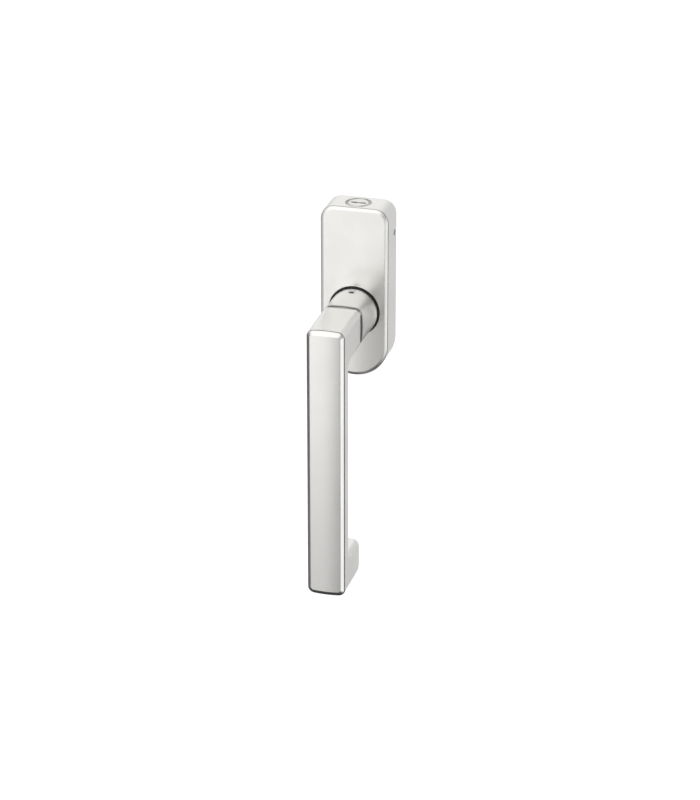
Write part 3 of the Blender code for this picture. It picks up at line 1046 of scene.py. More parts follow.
@dataclass
class RoseCover(SubAssembly):
    """The cap over the base plate: a thin shell with a collar hole, a lock hole and a notch."""

    corner: float = 6.2 * MM
    wall: float = 1.5 * MM
    facet: float = 1.5 * MM
    facet_rise: float = 0.5 * MM
    outer_edge: float = 0.4 * MM
    inner_edge: float = 0.15 * MM
    collar_hole: float = 11.8 * MM
    lock_hole: float = 5.75 * MM
    lock_depth: float = 7.5 * MM
    notch_low: float = 33.7 * MM
    notch_high: float = 36.1 * MM
    notch_depth: float = 4.8 * MM
    notch_round: float = 0.5 * MM
    hole_edge: float = 0.18 * MM
    hole_margin: float = 0.05 * MM

    def outline(self) -> RoseOutline:
        """The cap's outer outline, from the frame."""
        low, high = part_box("cover_cap")
        return RoseOutline(high.x - low.x, low.z, high.z, self.corner)

    def build(self) -> None:
        """Models the cap and seats it on the rose."""
        low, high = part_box("cover_cap")
        shape = self.outline().slab(0.0, high.y, low.y + self.facet_rise)
        face_up(shape, self.facet, self.facet_rise)
        round_front(shape, low.y + self.facet_rise, self.outer_edge, 4)
        round_front(shape, low.y, self.inner_edge, 2)
        cap = new_piece("rose_cover", shape)
        merge(cap, self.cutters(low, high))
        reshape(cap, self.ease_holes)
        even_shading(cap)
        self.seat(cap, Slot.SATIN, Body.ROSE, "cover_cap")

    def cutters(self, low: Vector, high: Vector) -> list[BMesh]:
        """The tools for the hollow, the collar hole, the lock hole and the side notch.

        Args:
            low: The cap's lowest corner.
            high: Its highest corner.

        Returns:
            One shape for each opening.
        """
        reach = 2 * self.wall
        hollow = self.outline().slab(self.wall, high.y + OVERCUT, low.y + self.wall)
        collar, lock = (
            [(0, -reach), (radius, -reach), (radius, reach), (0, reach)]
            for radius in (self.collar_hole, self.lock_hole)
        )
        lock_place = Vector((0, -self.lock_depth, high.z))
        notch = block(
            Vector((high.x - reach, -self.notch_depth, self.notch_low)),
            Vector((high.x + reach, reach, self.notch_high)),
        )
        inner = edges_where(
            notch, lambda a, b: max(a.y, b.y) < 0 and abs(a.z - b.z) < TINY
        )
        round_edges(notch, inner, self.notch_round, 3)
        return [
            hollow,
            turned(collar, Axis.Y, Vector((0, low.y, 0))),
            turned(lock, Axis.Z, lock_place),
            notch,
        ]

    def ease_holes(self, shape: BMesh) -> None:
        """Breaks the sharp outer edges of the collar hole and the lock hole.

        Args:
            shape: The open cap.
        """
        low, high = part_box("cover_cap")

        def on_collar_hole(spot: Vector) -> bool:
            """True on the front edge of the collar hole."""
            radius = Vector((spot.x, spot.z)).length
            return spot.y < low.y + TINY and abs(radius - self.collar_hole) < self.hole_margin

        def on_lock_hole(spot: Vector) -> bool:
            """True on the upper edge of the lock hole."""
            radius = Vector((spot.x, spot.y + self.lock_depth)).length
            return spot.z > high.z - TINY and abs(radius - self.lock_hole) < self.hole_margin

        rims = edges_where(
            shape,
            lambda a, b: (on_collar_hole(a) and on_collar_hole(b))
            or (on_lock_hole(a) and on_lock_hole(b)),
        )
        round_edges(shape, rims, self.hole_edge, 2)


@dataclass
class GuideRing(SubAssembly):
    """The black ring between the cap and the collar, with a soft front lip."""

    lip: float = 0.22 * MM
    lip_bend: float = 0.3
    flange: float = 0.45 * MM
    gap: float = 0.2 * MM
    wall: float = 0.5 * MM

    def build(self) -> None:
        """Models the ring and seats it on the rose."""
        low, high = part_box("guide_ring")
        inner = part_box("lever")[1].x + self.gap
        outer = inner + self.wall
        bend = self.lip_bend * self.lip
        section = [
            (inner, low.y + self.lip),
            (inner + bend, low.y + bend),
            (inner + self.lip, low.y),
            (outer - self.lip, low.y),
            (outer - bend, low.y + bend),
            (outer, low.y + self.lip),
            (outer, high.y - self.flange),
            (high.x, high.y - self.flange),
            (high.x, high.y),
            (inner, high.y),
        ]
        ring = new_piece("collar_seal_ring", turned(section, Axis.Y, Vector((0, 0, 0))))
        even_shading(ring)
        self.seat(ring, Slot.BLACK, Body.ROSE, "guide_ring")


@dataclass
class LeverCasting(SubAssembly):
    """Collar, waist, neck, bar and foot in one casting, with the hub behind the collar."""

    # Side outline of bar, neck and foot
    width: float = 17.2 * MM
    bar_thick: float = 9.6 * MM
    top: float = 9.6 * MM
    neck_under: float = -8.4 * MM
    neck_rear: float = -35.9 * MM
    foot_rear: float = -35.6 * MM
    foot_height: float = 17.7 * MM
    hollow: float = 3.0 * MM
    heel: float = 4.8 * MM
    side_round: float = 2.9 * MM
    neck_edge: float = 0.55 * MM
    # Flat facets round the front, and the front's crown and arched ends
    facet: float = 1.65 * MM
    end_facet: float = 2.2 * MM
    facet_rise: float = 0.85 * MM
    outer_edge: float = 0.5 * MM
    inner_edge: float = 0.14 * MM
    crown: float = 0.42 * MM
    crown_steps: int = 14
    panel_margin: float = 0.05 * MM
    arch: float = 0.6 * MM
    arch_fade: float = 5.0 * MM
    arch_rear: float = -50.0 * MM
    arch_depth: float = 8.0 * MM
    # Collar, from its round rear end to the rounded square outline of its front
    collar_front: float = -34.7 * MM
    collar_rear: float = -12.9 * MM
    collar_edge: float = 2.2 * MM
    collar_span: float = 46.0
    collar_break: float = 0.2 * MM
    blend_start: float = -18.0 * MM
    waist_depth: float = 1.7 * MM
    throat_margin: float = 0.15 * MM
    throat_corner: float = 3.6 * MM
    # Hub and the openings in it
    hub: float = 6.6 * MM
    clip_groove: tuple[float, float] = (-1.9 * MM, -1.0 * MM)
    clip_groove_floor: float = 5.8 * MM
    socket: float = 7.2 * MM
    socket_end: float = -18.3 * MM
    # Dimple on the collar with a grub screw hole, and a black piece in the hole that is painted
    # shade
    dimple: Point = (2.6 * MM, 1.7 * MM, 0.55 * MM)
    dimple_place: float = -19.4 * MM
    grub_hole: Point = (1.15 * MM, 1.1 * MM, 1.2 * MM)
    shade_drop: float = 0.42 * MM
    grub_hole_gap: float = 0.05 * MM
    grub_hole_round: float = 0.96
    shade_edge: float = 0.12 * MM

    def build(self) -> None:
        """Models the casting and seats it on the lever's body."""
        casting = new_piece("lever_handle", self.grip())
        merge(casting, [self.collar()], "UNION")
        merge(casting, self.cutters())
        even_shading(casting)
        self.seat(casting, Slot.SATIN, Body.LEVER, "lever")
        # The black piece in the collar's hole is painted shade
        self.paint_hole_shade()

    def grip(self) -> BMesh:
        """Bar, neck and foot from one side outline, with facets all round the front.

        Returns:
            The closed shape.
        """
        low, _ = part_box("lever")
        front = low.y + self.crown + self.facet_rise
        back = low.y + self.bar_thick
        sole = low.z + self.foot_height
        half = self.width / 2
        outline = [
            (front, self.top),
            (self.neck_rear, self.top),
            (self.neck_rear, self.neck_under),
            (back, self.neck_under),
            (back, sole),
            (self.foot_rear, sole),
            (self.foot_rear, low.z),
            (front, low.z),
        ]
        shape = flat_outline([(-half, y, z) for y, z in outline])
        extrude_all(shape, Vector((self.width, 0, 0)))
        self.round_profile(shape, back)
        self.round_sides(shape, half, front)
        self.face_front(shape, front)
        self.swell(shape, low, half)
        bmesh.ops.recalc_face_normals(shape, faces=shape.faces)
        return shape

    def round_profile(self, shape: BMesh, back: float) -> None:
        """Fillets the inner corners behind the bar and rounds the heel of the foot.

        Args:
            shape: The extruded outline.
            back: The rear face of the bar along Y.
        """

        def on_heel(a: Vector, b: Vector) -> bool:
            """True for a cross edge at the rear of the foot."""
            is_on_foot = a.y > self.foot_rear - TINY and a.z < self.neck_under - self.hollow
            return is_on_foot and abs(a.x - b.x) > self.width / 2

        across = edges_where(shape, lambda a, b: abs(a.x - b.x) > self.width / 2)
        hollows = [edge for edge in across if abs(edge.verts[0].co.y - back) < TINY]
        round_edges(shape, hollows, self.hollow, 6)
        round_edges(shape, edges_where(shape, on_heel), self.heel, 8)

    def round_sides(self, shape: BMesh, half: float, front: float) -> None:
        """Rounds the long outlines on both sides, but not the front or the neck's rear face.

        Args:
            shape: The grip so far.
            half: Half its width.
            front: The front plane along Y.
        """

        def on_outline(a: Vector, b: Vector) -> bool:
            """True for a side edge that is to be rounded.

            Args:
                a: One end of the edge.
                b: Its other end.

            Returns:
                Whether the edge is rounded.
            """
            on_side = abs(abs(a.x) - half) < TINY and abs(a.x - b.x) < TINY
            on_front = a.y < front + TINY and b.y < front + TINY
            on_rear = (
                min(a.y, b.y) > self.neck_rear - TINY and min(a.z, b.z) > self.neck_under - TINY
            )
            return on_side and not on_front and not on_rear

        round_edges(shape, edges_where(shape, on_outline), self.side_round, 7)
        rear = edges_where(
            shape,
            lambda a, b: min(a.y, b.y) > self.neck_rear - TINY
            and max(a.y, b.y) < self.neck_rear + TINY
            and min(a.z, b.z) > self.neck_under - self.hollow,
        )
        round_edges(shape, rear, self.neck_edge, 4)

    def face_front(self, shape: BMesh, front: float) -> None:
        """Raises the front inside a border of flat facets.

        Args:
            shape: The grip so far.
            front: The front plane along Y.
        """
        panel = face_up(shape, self.facet, self.facet_rise)
        heights = [spot.co.z for spot in panel.verts]
        middle, reach = (max(heights) + min(heights)) / 2, (max(heights) - min(heights)) / 2
        squeeze = 1 - (self.end_facet - self.facet) / reach
        for spot in panel.verts:
            spot.co.z = middle + (spot.co.z - middle) * squeeze
        round_front(shape, front, self.outer_edge, 4)
        round_front(shape, front - self.facet_rise, self.inner_edge, 2)

    def swell(self, shape: BMesh, low: Vector, half: float) -> None:
        """Crowns the front across its width and arches the bar's two ends.

        Args:
            shape: The grip so far.
            low: The lowest corner of the lever's box.
            half: Half the bar's width.
        """
        for i in range(1, self.crown_steps):
            across = -half + self.width * i / self.crown_steps
            parts = [*shape.verts, *shape.edges, *shape.faces]
            bmesh.ops.bisect_plane(
                shape, geom=parts, dist=TINY, plane_co=(across, 0, 0), plane_no=(1, 0, 0)
            )
        inner = half - self.facet
        panel = low.y + self.crown + self.panel_margin
        for spot in shape.verts:
            if spot.co.y < panel:
                spot.co.y -= self.crown * max(0.0, 1 - (spot.co.x / inner) ** 2)
            curl = self.arch * (spot.co.x / half) ** 2
            near_front = min(1.0, max(0.0, (self.arch_rear - spot.co.y) / self.arch_depth))
            near_top = min(1.0, max(0.0, (spot.co.z - self.top) / self.arch_fade + 1))
            near_low = min(1.0, max(0.0, (low.z - spot.co.z) / self.arch_fade + 1))
            spot.co.z += curl * (near_low - near_top * near_front)

    def collar(self) -> BMesh:
        """Collar, recessed waist and hub, turned about the spindle's axis.

        Returns:
            The turned shape.
        """
        _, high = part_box("lever")
        radius = high.x
        groove_front, groove_rear = self.clip_groove
        waist = radius - self.waist_depth
        section = [
            (0, self.neck_rear - OVERCUT),
            (waist, self.neck_rear - OVERCUT),
            (waist, self.collar_front),
            *shoulder(radius, self.collar_front, self.collar_edge, self.collar_span, 5),
            (radius, (self.collar_front + self.blend_start) / 2),
            (radius, self.blend_start),
            (radius, self.collar_rear - self.collar_break),
            (radius - self.collar_break, self.collar_rear),
            (self.hub, self.collar_rear),
            (self.hub, groove_front),
            (self.clip_groove_floor, groove_front),
            (self.clip_groove_floor, groove_rear),
            (self.hub, groove_rear),
            (self.hub, high.y),
            (0, high.y),
        ]
        shape = turned(section, Axis.Y, Vector((0, 0, 0)))
        self.square_up(shape, radius)
        return shape

    def square_up(self, shape: BMesh, radius: float) -> None:
        """Blends the collar from its round rear end to the neck's rounded outline in front.

        Args:
            shape: The turned collar.
            radius: Its outer radius.
        """
        middle = (self.top + self.neck_under) / 2
        for spot in shape.verts:
            share = (self.blend_start - spot.co.y) / (self.blend_start - self.collar_front)
            share = min(1.0, max(0.0, share))
            flat = Vector((spot.co.x, spot.co.z))
            if share == 0 or flat.length < MM:
                continue
            ray = flat.normalized()
            change = share * (self.throat_reach(ray) - radius)
            place = ray * (flat.length + change)
            spot.co.x, spot.co.z = place.x, place.y + share * middle

    def throat_reach(self, ray: Vector) -> float:
        """How far the collar's front outline lies from its centre.

        Args:
            ray: The direction, of length one.

        Returns:
            The distance to the outline.
        """
        grow = self.throat_margin - self.throat_corner
        wide = self.width / 2 + grow
        tall = (self.top - self.neck_under) / 2 + grow
        near, far = 0.0, self.width
        while far - near > TINY / 1000:
            reach = (near + far) / 2
            beyond = Vector((abs(ray.x) * reach - wide, abs(ray.y) * reach - tall))
            outside = Vector((max(0.0, beyond.x), max(0.0, beyond.y))).length
            if outside < self.throat_corner:
                near = reach
            else:
                far = reach
        return near

    def cutters(self) -> list[BMesh]:
        """The tools for the square socket, the pin's hole and the oval dimple.

        Returns:
            One shape for each.
        """
        _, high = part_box("lever")
        side = self.socket / 2
        socket = block(Vector((-side, self.socket_end, -side)), Vector((side, OVERCUT, side)))
        pin = pin_drill(3 * high.x)
        oval = start_shape()
        bmesh.ops.create_uvsphere(oval, u_segments=32, v_segments=16, radius=1.0)
        bmesh.ops.scale(oval, vec=self.dimple, verts=oval.verts)
        bmesh.ops.translate(oval, vec=(0, self.dimple_place, high.x), verts=oval.verts)
        return [socket, pin, oval, self.grub_hole_block(self.grub_hole_gap, high.x + OVERCUT)]

    def grub_hole_block(self, grow: float, top: float) -> BMesh:
        """The oval block of the grub screw hole in the collar's dimple, which also shapes the black
        painted-shade piece in it.

        Args:
            grow: How much larger it is all round.
            top: The height of its upper face.

        Returns:
            The block.
        """
        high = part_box("lever")[1]
        long, wide, deep = self.grub_hole
        reach = Vector((long + grow, wide + grow, 0))
        place = Vector((0, self.dimple_place, 0))
        foot = Vector((0, 0, high.x - deep - grow))
        shape = block(place - reach + foot, place + reach + Vector((0, 0, top)))
        upright = edges_where(shape, lambda a, b: abs(a.z - b.z) > TINY)
        round_edges(shape, upright, self.grub_hole_round * reach.y, 6)
        return shape

    def paint_hole_shade(self) -> None:
        """Models a black piece in the collar's grub screw hole: painted shade, standing in for the
        shade inside the hole.
        """
        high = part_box("lever")[1]
        top = high.x - self.shade_drop
        shape = self.grub_hole_block(0.0, top)
        rim = edges_where(shape, lambda a, b: min(a.z, b.z) > top - TINY)
        round_edges(shape, rim, self.shade_edge, 2)
        # Painted shade: a black piece sits in the hole where there is only the hole's own shade
        piece = new_piece("collar_mark", shape)
        even_shading(piece)
        self.seat(piece, Slot.BLACK, Body.LEVER)


@dataclass
class BasePlate(SubAssembly):
    """The die-cast plate under the cap, with shallow casting pockets in its back."""

    edge: float = 0.14 * MM
    pocket_depth: float = 0.7 * MM
    pocket_round: float = 1.2 * MM
    pocket_half: float = 9.2 * MM
    bands: tuple[tuple[float, float], ...] = ((10.4 * MM, 15.2 * MM), (28.2 * MM, 43.0 * MM))
    lug_low: Point = (12.5 * MM, -4.3 * MM, 33.9 * MM)
    lug_high: Point = (15.3 * MM, -0.2 * MM, 35.9 * MM)

    def build(self) -> None:
        """Models the plate and seats it on the rose."""
        plate = refined_copy("base_plate", "base_casting", self.edge)
        lug = block(Vector(self.lug_low), Vector(self.lug_high))
        round_edges(lug, list(lug.edges), self.edge, 2)
        merge(plate, [lug], "UNION")
        merge(plate, [self.pocket(*band) for band in self.all_bands()])
        even_shading(plate)
        self.seat(plate, Slot.ZINC, Body.ROSE, "base_plate")

    def all_bands(self) -> list[tuple[float, float]]:
        """The heights between which each pocket lies, with the first one mirrored below."""
        low, high = self.bands[0]
        return [*self.bands, (-high, -low)]

    def pocket(self, low: float, high: float) -> BMesh:
        """A rounded pocket between two heights.

        Args:
            low: Its lower side.
            high: Its upper side.

        Returns:
            The tool that cuts it.
        """
        shape = block(
            Vector((-self.pocket_half, -self.pocket_depth, low)),
            Vector((self.pocket_half, self.pocket_depth, high)),
        )
        upright = edges_where(shape, lambda a, b: abs(a.y - b.y) > TINY)
        round_edges(shape, upright, self.pocket_round, 5)
        return shape


@dataclass
class FixingScrews(SubAssembly):
    """Two countersunk M5 screws with real threads and cross recesses."""

    pitch: float = 0.8 * MM
    radius: float = 2.5 * MM
    core: float = 2.08 * MM
    head: float = 4.5 * MM
    plain_end: float = 11.0 * MM
    lead: float = 1.2 * MM
    recess: float = 2.3 * MM
    recess_half: float = 0.5 * MM
    recess_depth: float = 1.6 * MM
    facets: int = 24
    rim: float = 0.15 * MM
    root_depth: float = 0.08 * MM
    root_half: float = 0.46
    crest_drop: float = 0.02 * MM
    crest_half: float = 0.07

    def build(self) -> None:
        """Models both screws and seats them on the rose."""
        for word in ("upper", "lower"):
            node = f"fixing_screw_{word}"
            low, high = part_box(node)
            middle = (low + high) / 2
            axis = Vector((middle.x, 0, middle.z))
            screw = new_piece(f"threaded_screw_{word}", self.shank(low.y, high.y, axis))
            merge(screw, self.recess_tools(low.y, axis))
            reshape(screw, lambda shape: self.add_thread(shape, high.y, axis))
            even_shading(screw, FINE_CRISP_ANGLE)
            self.seat(screw, Slot.STEEL, Body.ROSE, node)

    def shank(self, top: float, tip: float, axis: Vector) -> BMesh:
        """Head, plain shank and core, turned in one.

        Args:
            top: The head's face along Y.
            tip: The screw's far end along Y.
            axis: A point on the screw's axis.

        Returns:
            The turned shape.
        """
        neck = top + self.head - self.radius
        section = [
            (0, top),
            (self.head - self.rim, top),
            (self.head, top + self.rim),
            (self.radius, neck + self.rim),
            (self.radius, self.plain_end),
            (self.core, self.plain_end + self.radius - self.core),
            (self.core, tip - self.lead),
            (self.core - 0.5 * self.lead, tip),
            (0, tip),
        ]
        return turned(section, Axis.Y, axis, 2 * self.facets)

    def recess_tools(self, top: float, axis: Vector) -> list[BMesh]:
        """The two slots of the cross recess.

        Args:
            top: The head's face along Y.
            axis: A point on the screw's axis.

        Returns:
            The tools.
        """
        centre = axis + Vector((0, top, 0))
        long, thin, deep = self.recess, self.recess_half, self.recess_depth
        flat, upright = Vector((long, deep, thin)), Vector((thin, deep, long))
        return [block(centre - reach, centre + reach) for reach in (flat, upright)]

    def add_thread(self, shape: BMesh, tip: float, axis: Vector) -> None:
        """Winds a pointed ridge round the core.

        Args:
            shape: The open screw.
            tip: The screw's far end along Y.
            axis: A point on the screw's axis.
        """
        start = self.plain_end + self.pitch
        turns = int((tip - self.lead - start) / self.pitch)
        root, crest = self.core - self.root_depth, self.radius - self.crest_drop
        spots = [
            shape.verts.new(axis + Vector((across, start + share * self.pitch, 0)))
            for across, share in (
                (root, -self.root_half),
                (crest, -self.crest_half),
                (crest, self.crest_half),
                (root, self.root_half),
            )
        ]
        ridge = shape.faces.new(spots)
        before = set(shape.faces)
        bmesh.ops.spin(
            shape,
            geom=[*spots, *ridge.edges, ridge],
            cent=axis,
            axis=Axis.Y.vector,
            dvec=Axis.Y.vector * self.pitch / self.facets,
            angle=2 * pi * turns,
            steps=self.facets * turns,
            use_merge=False,
        )
        fresh = [face for face in shape.faces if face not in before] + [ridge]
        bmesh.ops.recalc_face_normals(shape, faces=[face for face in fresh if face.is_valid])


@dataclass
class SquareSpindle(SubAssembly):
    """The drawn square bar that drives the window's gearbox."""

    edge: float = 0.45 * MM
    lead: float = 0.9 * MM

    def build(self) -> None:
        """Models the spindle and seats it on the lever's body."""
        low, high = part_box("spindle")
        shape = block(low, high)
        ends = edges_where(shape, lambda a, b: abs(a.y - b.y) < TINY)
        round_edges(shape, ends, self.lead, 1)
        long = edges_where(shape, lambda a, b: abs(a.y - b.y) > (high.y - low.y) / 2)
        round_edges(shape, long, self.edge, 4)
        bar = new_piece("square_drive_bar", shape)
        merge(bar, [pin_drill(2 * (high.x - low.x))])
        even_shading(bar, FINE_CRISP_ANGLE)
        self.seat(bar, Slot.STEEL, Body.LEVER, "spindle")


@dataclass
class CylinderLock(SubAssembly):
    """The lock in the rose's upper end: a fixed barrel and the plug that the key turns."""

    edge: float = 0.14 * MM
    gap_inner: float = 4.45 * MM
    gap_outer: float = 5.05 * MM
    gap_depth: float = 0.7 * MM
    ward_long: float = 0.75 * MM
    ward_wide: float = 0.5 * MM
    ward_drop: float = 0.25 * MM
    ward_depth: float = 2.0 * MM
    ward_root: float = 0.845 * MM
    keyway_half: float = 0.65 * MM

    def build(self) -> None:
        """Models barrel and plug and seats them on their bodies."""
        low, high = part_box("lock_housing")
        axis = (low + high) / 2

        def on_outside(spot: Vector) -> bool:
            """True on the barrel's outside and round its upper rim."""
            radius = Vector((spot.x - axis.x, spot.y - axis.y)).length
            return radius > self.gap_outer - self.edge

        barrel = refined_copy("lock_housing", "lock_barrel", self.edge, on_outside)
        merge(barrel, [self.collar(self.gap_outer - OVERCUT, self.gap_outer)])
        even_shading(barrel)
        self.seat(barrel, Slot.NICKEL, Body.ROSE, "lock_housing")
        plug = refined_copy("lock_plug", "lock_key_plug", self.edge)
        merge(plug, [self.collar(self.gap_inner, self.gap_inner + OVERCUT)])
        merge(plug, self.wards(), "UNION")
        even_shading(plug)
        self.seat(plug, Slot.NICKEL, Body.PLUG, "lock_plug")

    def collar(self, inner: float, outer: float) -> BMesh:
        """A ring round the plug's face, to cut the gap between plug and barrel.

        Args:
            inner: Its inner radius.
            outer: Its outer radius.

        Returns:
            The ring.
        """
        low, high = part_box("lock_plug")
        centre = Vector(((low.x + high.x) / 2, (low.y + high.y) / 2, high.z))
        depth = self.gap_depth
        section = [(inner, -depth), (outer, -depth), (outer, depth), (inner, depth)]
        return turned(section, Axis.Z, centre)

    def wards(self) -> list[BMesh]:
        """The two wards that narrow the keyway in its middle.

        Returns:
            Two small blocks.
        """
        low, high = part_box("lock_plug")
        centre = Vector(((low.x + high.x) / 2, (low.y + high.y) / 2, high.z - self.ward_drop))
        shapes = []
        for side in (-1, 1):
            near = centre + Vector((-self.ward_long, side * self.ward_root, 0))
            far_y = side * (self.keyway_half - self.ward_wide)
            far = centre + Vector((self.ward_long, far_y, -self.ward_depth))
            lowest = Vector(map(min, near, far))
            highest = Vector(map(max, near, far))
            shapes.append(block(lowest, highest))
        return shapes


@dataclass(frozen=True)
class SmallPart:
    """One small part whose frame node only needs its edges broken.

    Attributes:
        node: The frame node.
        name: The piece's name.
        body: The body that carries it.
        edge: The size of the rounding.
    """

    node: str
    name: str
    body: Body
    edge: float


@dataclass
class SmallHardware(SubAssembly):
    """Rings, clips, pin, bush and disc: the parts that hold hub and lock together."""

    parts: tuple[SmallPart, ...] = (
        SmallPart("retaining_ring", "hub_retaining_ring", Body.LEVER, 0.12 * MM),
        SmallPart("thrust_washer", "hub_thrust_washer", Body.LEVER, 0.10 * MM),
        SmallPart("detent_disc", "ball_detent_disc", Body.LEVER, 0.16 * MM),
        SmallPart("cross_pin", "hub_cross_pin", Body.LEVER, 0.14 * MM),
        SmallPart("bearing_bush", "hub_bearing_bush", Body.ROSE, 0.12 * MM),
        SmallPart("lock_clip", "barrel_clip", Body.ROSE, 0.08 * MM),
        SmallPart("plug_clip", "plug_retaining_clip", Body.PLUG, 0.08 * MM),
        SmallPart("lock_tailpiece", "plug_tailpiece", Body.PLUG, 0.10 * MM),
    )

    def build(self) -> None:
        """Models the parts and seats each on its body."""
        for part in self.parts:
            piece = refined_copy(part.node, part.name, part.edge)
            even_shading(piece)
            self.seat(piece, record_slot(part.node), part.body, part.node)


class InnerParts:
    """The frame nodes that keep their own shape and only need their finish."""

    def dress(self) -> None:
        """Gives every node that is still shown the finish of its slot."""
        for name, node in sorted(frame["nodes"].items()):
            if node.hide_render:
                continue
            slot = record_slot(name)
            for place in node.material_slots:
                place.material = FINISHES[slot].material()
            log.info("%s: kept from the frame, %s", name, slot.value)


# ---------------------------------------------------------------------------------------------
# Studio
# ---------------------------------------------------------------------------------------------


def towards(azimuth: float, elevation: float) -> Vector:
    """The direction that lies at an angle from straight in front of the handle.

    Args:
        azimuth: Degrees to the right of straight in front.
        elevation: Degrees above the horizon.

    Returns:
        A vector of length one, from the handle outwards.
    """
    turn, lift = radians(azimuth), radians(elevation)
    return Vector((sin(turn) * cos(lift), -cos(turn) * cos(lift), sin(lift)))


@dataclass(frozen=True)
class Panel:
    """A soft round panel of light on the walls of the room.

    Attributes:
        azimuth: Degrees to the right of straight in front of the handle.
        elevation: Degrees above the horizon.
        core: The angle within which it is fully bright.
        reach: The angle at which it has faded out.
        glow: Its brightness.
    """

    azimuth: float
    elevation: float
    core: float
    reach: float
    glow: float


@dataclass(frozen=True)
class Softbox:
    """A soft rectangular light near the handle.

    Attributes:
        name: The light's name.
        azimuth: Degrees to the right of straight in front of the handle.
        elevation: Degrees above the horizon.
        distance: How far from its target it stands.
        size: Its width and height.
        glow: Its brightness as a surface, whatever its size.
        target: The point it faces.
    """

    name: str
    azimuth: float
    elevation: float
    distance: float
    size: tuple[float, float]
    glow: float
    target: Point = (0.0, -0.035, 0.0)

    def light(self) -> None:
        """Sets the light up."""
        lamp = bpy.data.lights.new(self.name, "AREA")
        lamp.shape = "RECTANGLE"
        lamp.size, lamp.size_y = self.size
        lamp.energy = self.glow * pi * self.size[0] * self.size[1]
        holder = bpy.data.objects.new(self.name, lamp)
        away = towards(self.azimuth, self.elevation)
        holder.location = Vector(self.target) + away * self.distance
        holder.rotation_euler = (-away).to_track_quat("-Z", "Y").to_euler()
        holder.visible_camera = False
        bpy.context.scene.collection.objects.link(holder)


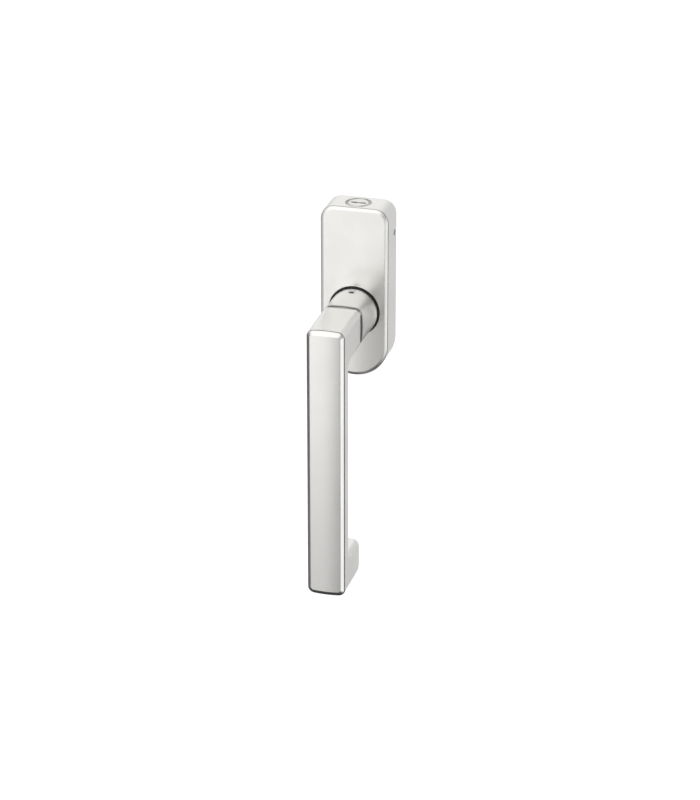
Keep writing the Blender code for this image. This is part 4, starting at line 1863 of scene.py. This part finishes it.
@dataclass
class Studio:
    """A plain pale floor, a room of soft panels, softboxes and the camera.

    Attributes:
        azimuth: Degrees from straight in front of the handle to the camera, to the right.
        elevation: Degrees from the horizon up to the camera.
        distance: How far the camera stands from the point it looks at.
        aim: The point it looks at.
        lens: Its focal length in millimetres.
        sensor: The width of its sensor in millimetres.
        clip: The nearest and the farthest distance it sees.
        floor_drop: How far the floor lies under the handle.
        floor_size: How wide the floor is.
        floor_patch: The size of the floor's patches of tone.
        floor_tones: The two tones of those patches.
        floor_glow: How much light the floor gives off.
        room: The brightness of the room between its panels.
        panels: The panels.
        softboxes: The lights near the handle.
    """

    azimuth: float = 15.12
    elevation: float = 23.91
    distance: float = 1335.3 * MM
    aim: Point = (4.0 * MM, -36.75 * MM, -33.8 * MM)
    lens: float = 135.0
    sensor: float = 36.0
    clip: tuple[float, float] = (0.01, 100.0)
    floor_drop: float = 0.40
    floor_size: float = 60.0
    floor_patch: float = 0.4
    floor_tones: tuple[float, float] = (0.93, 0.95)
    floor_glow: float = 0.6
    room: float = 0.05
    panels: tuple[Panel, ...] = (
        Panel(15, 24, 35, 80, 0.22),
        Panel(-33, -22, 15, 34, 0.59),
        Panel(40, -22, 12, 28, 1.15),
        Panel(-16, 36, 22, 45, 1.05),
        Panel(186, 8, 38, 70, 0.75),
        Panel(196, 30, 10, 35, 0.27),
        Panel(90, 10, 8, 28, 0.60),
        Panel(-90, 10, 8, 28, 0.50),
        Panel(0, 0, 5, 22, 0.20),
    )
    softboxes: tuple[Softbox, ...] = (
        Softbox("front_left", -26, -8, 0.50, (0.42, 0.40), 0.46),
    )

    def build(self) -> None:
        """Sets up camera, room, floor and lights."""
        self.camera()
        self.paint_room()
        self.floor()
        for softbox in self.softboxes:
            softbox.light()
        bpy.context.scene.view_settings.view_transform = "Standard"
        log.info("studio: %d panels, %d softboxes", len(self.panels), len(self.softboxes))

    def camera(self) -> None:
        """Places the camera above the handle and to its right."""
        lens = bpy.data.cameras.new("camera")
        lens.lens = self.lens
        lens.sensor_width = self.sensor
        lens.clip_start, lens.clip_end = self.clip
        holder = bpy.data.objects.new("camera", lens)
        back = towards(self.azimuth, self.elevation)
        holder.location = Vector(self.aim) + back * self.distance
        holder.rotation_euler = (-back).to_track_quat("-Z", "Y").to_euler()
        bpy.context.scene.collection.objects.link(holder)
        bpy.context.scene.camera = holder

    def paint_room(self) -> None:
        """Lights the room with its panels; only the metal sees them, not the camera."""
        world = bpy.data.worlds.new("studio")
        world.use_nodes = True
        bpy.context.scene.world = world
        nodes, links = world.node_tree.nodes, world.node_tree.links
        place = nodes.new("ShaderNodeTexCoord").outputs["Generated"]
        total = None
        for panel in self.panels:
            toward = nodes.new("ShaderNodeVectorMath")
            toward.operation = "DOT_PRODUCT"
            toward.inputs[1].default_value = towards(panel.azimuth, panel.elevation)
            links.new(place, toward.inputs[0])
            fade = nodes.new("ShaderNodeMapRange")
            fade.interpolation_type = "SMOOTHSTEP"
            fade.inputs["From Min"].default_value = cos(radians(panel.reach))
            fade.inputs["From Max"].default_value = cos(radians(panel.core))
            fade.inputs["To Max"].default_value = panel.glow
            links.new(toward.outputs["Value"], fade.inputs["Value"])
            added = nodes.new("ShaderNodeMath")
            added.inputs[1].default_value = self.room
            if total:
                links.new(total, added.inputs[1])
            links.new(fade.outputs["Result"], added.inputs[0])
            total = added.outputs["Value"]
        rays = nodes.new("ShaderNodeLightPath")
        seen = nodes.new("ShaderNodeMath")
        seen.operation = "MAXIMUM"
        links.new(rays.outputs["Is Camera Ray"], seen.inputs[0])
        links.new(total, seen.inputs[1])
        sky = nodes["Background"]
        sky.inputs["Color"].default_value = (1, 1, 1, 1)
        links.new(seen.outputs["Value"], sky.inputs["Strength"])

    def floor(self) -> None:
        """A wide pale floor well under the handle."""
        shape = start_shape()
        bmesh.ops.create_grid(shape, x_segments=4, y_segments=4, size=self.floor_size / 2)
        level = CAD_BOX[0].z - self.floor_drop
        bmesh.ops.translate(shape, vec=(0, 0, level), verts=shape.verts)
        plane = new_piece("floor", shape)
        bench = Bench("pale_floor")
        dark, light = (tint((tone, tone, tone), 1.0) for tone in self.floor_tones)
        tone = bench.blend(bench.noise(self.floor_patch), dark, light)
        bench.put(bench.shader.inputs["Base Color"], tone)
        bench.shader.inputs["Roughness"].default_value = 0.9
        bench.shader.inputs["Emission Color"].default_value = (1, 1, 1, 1)
        bench.shader.inputs["Emission Strength"].default_value = self.floor_glow
        plane.data.materials.append(bench.material)
        plane.visible_glossy = False
        plane.visible_diffuse = False


def main() -> None:
    """Builds the studio and the handle in order."""
    logging.basicConfig(level=logging.INFO, format="%(name)s %(message)s")
    Studio().build()
    assemblies = (
        RoseCover(),
        GuideRing(),
        LeverCasting(),
        BasePlate(),
        FixingScrews(),
        SquareSpindle(),
        CylinderLock(),
        SmallHardware(),
    )
    for assembly in assemblies:
        assembly.build()
    InnerParts().dress()


if __name__ == "__main__":
    main()
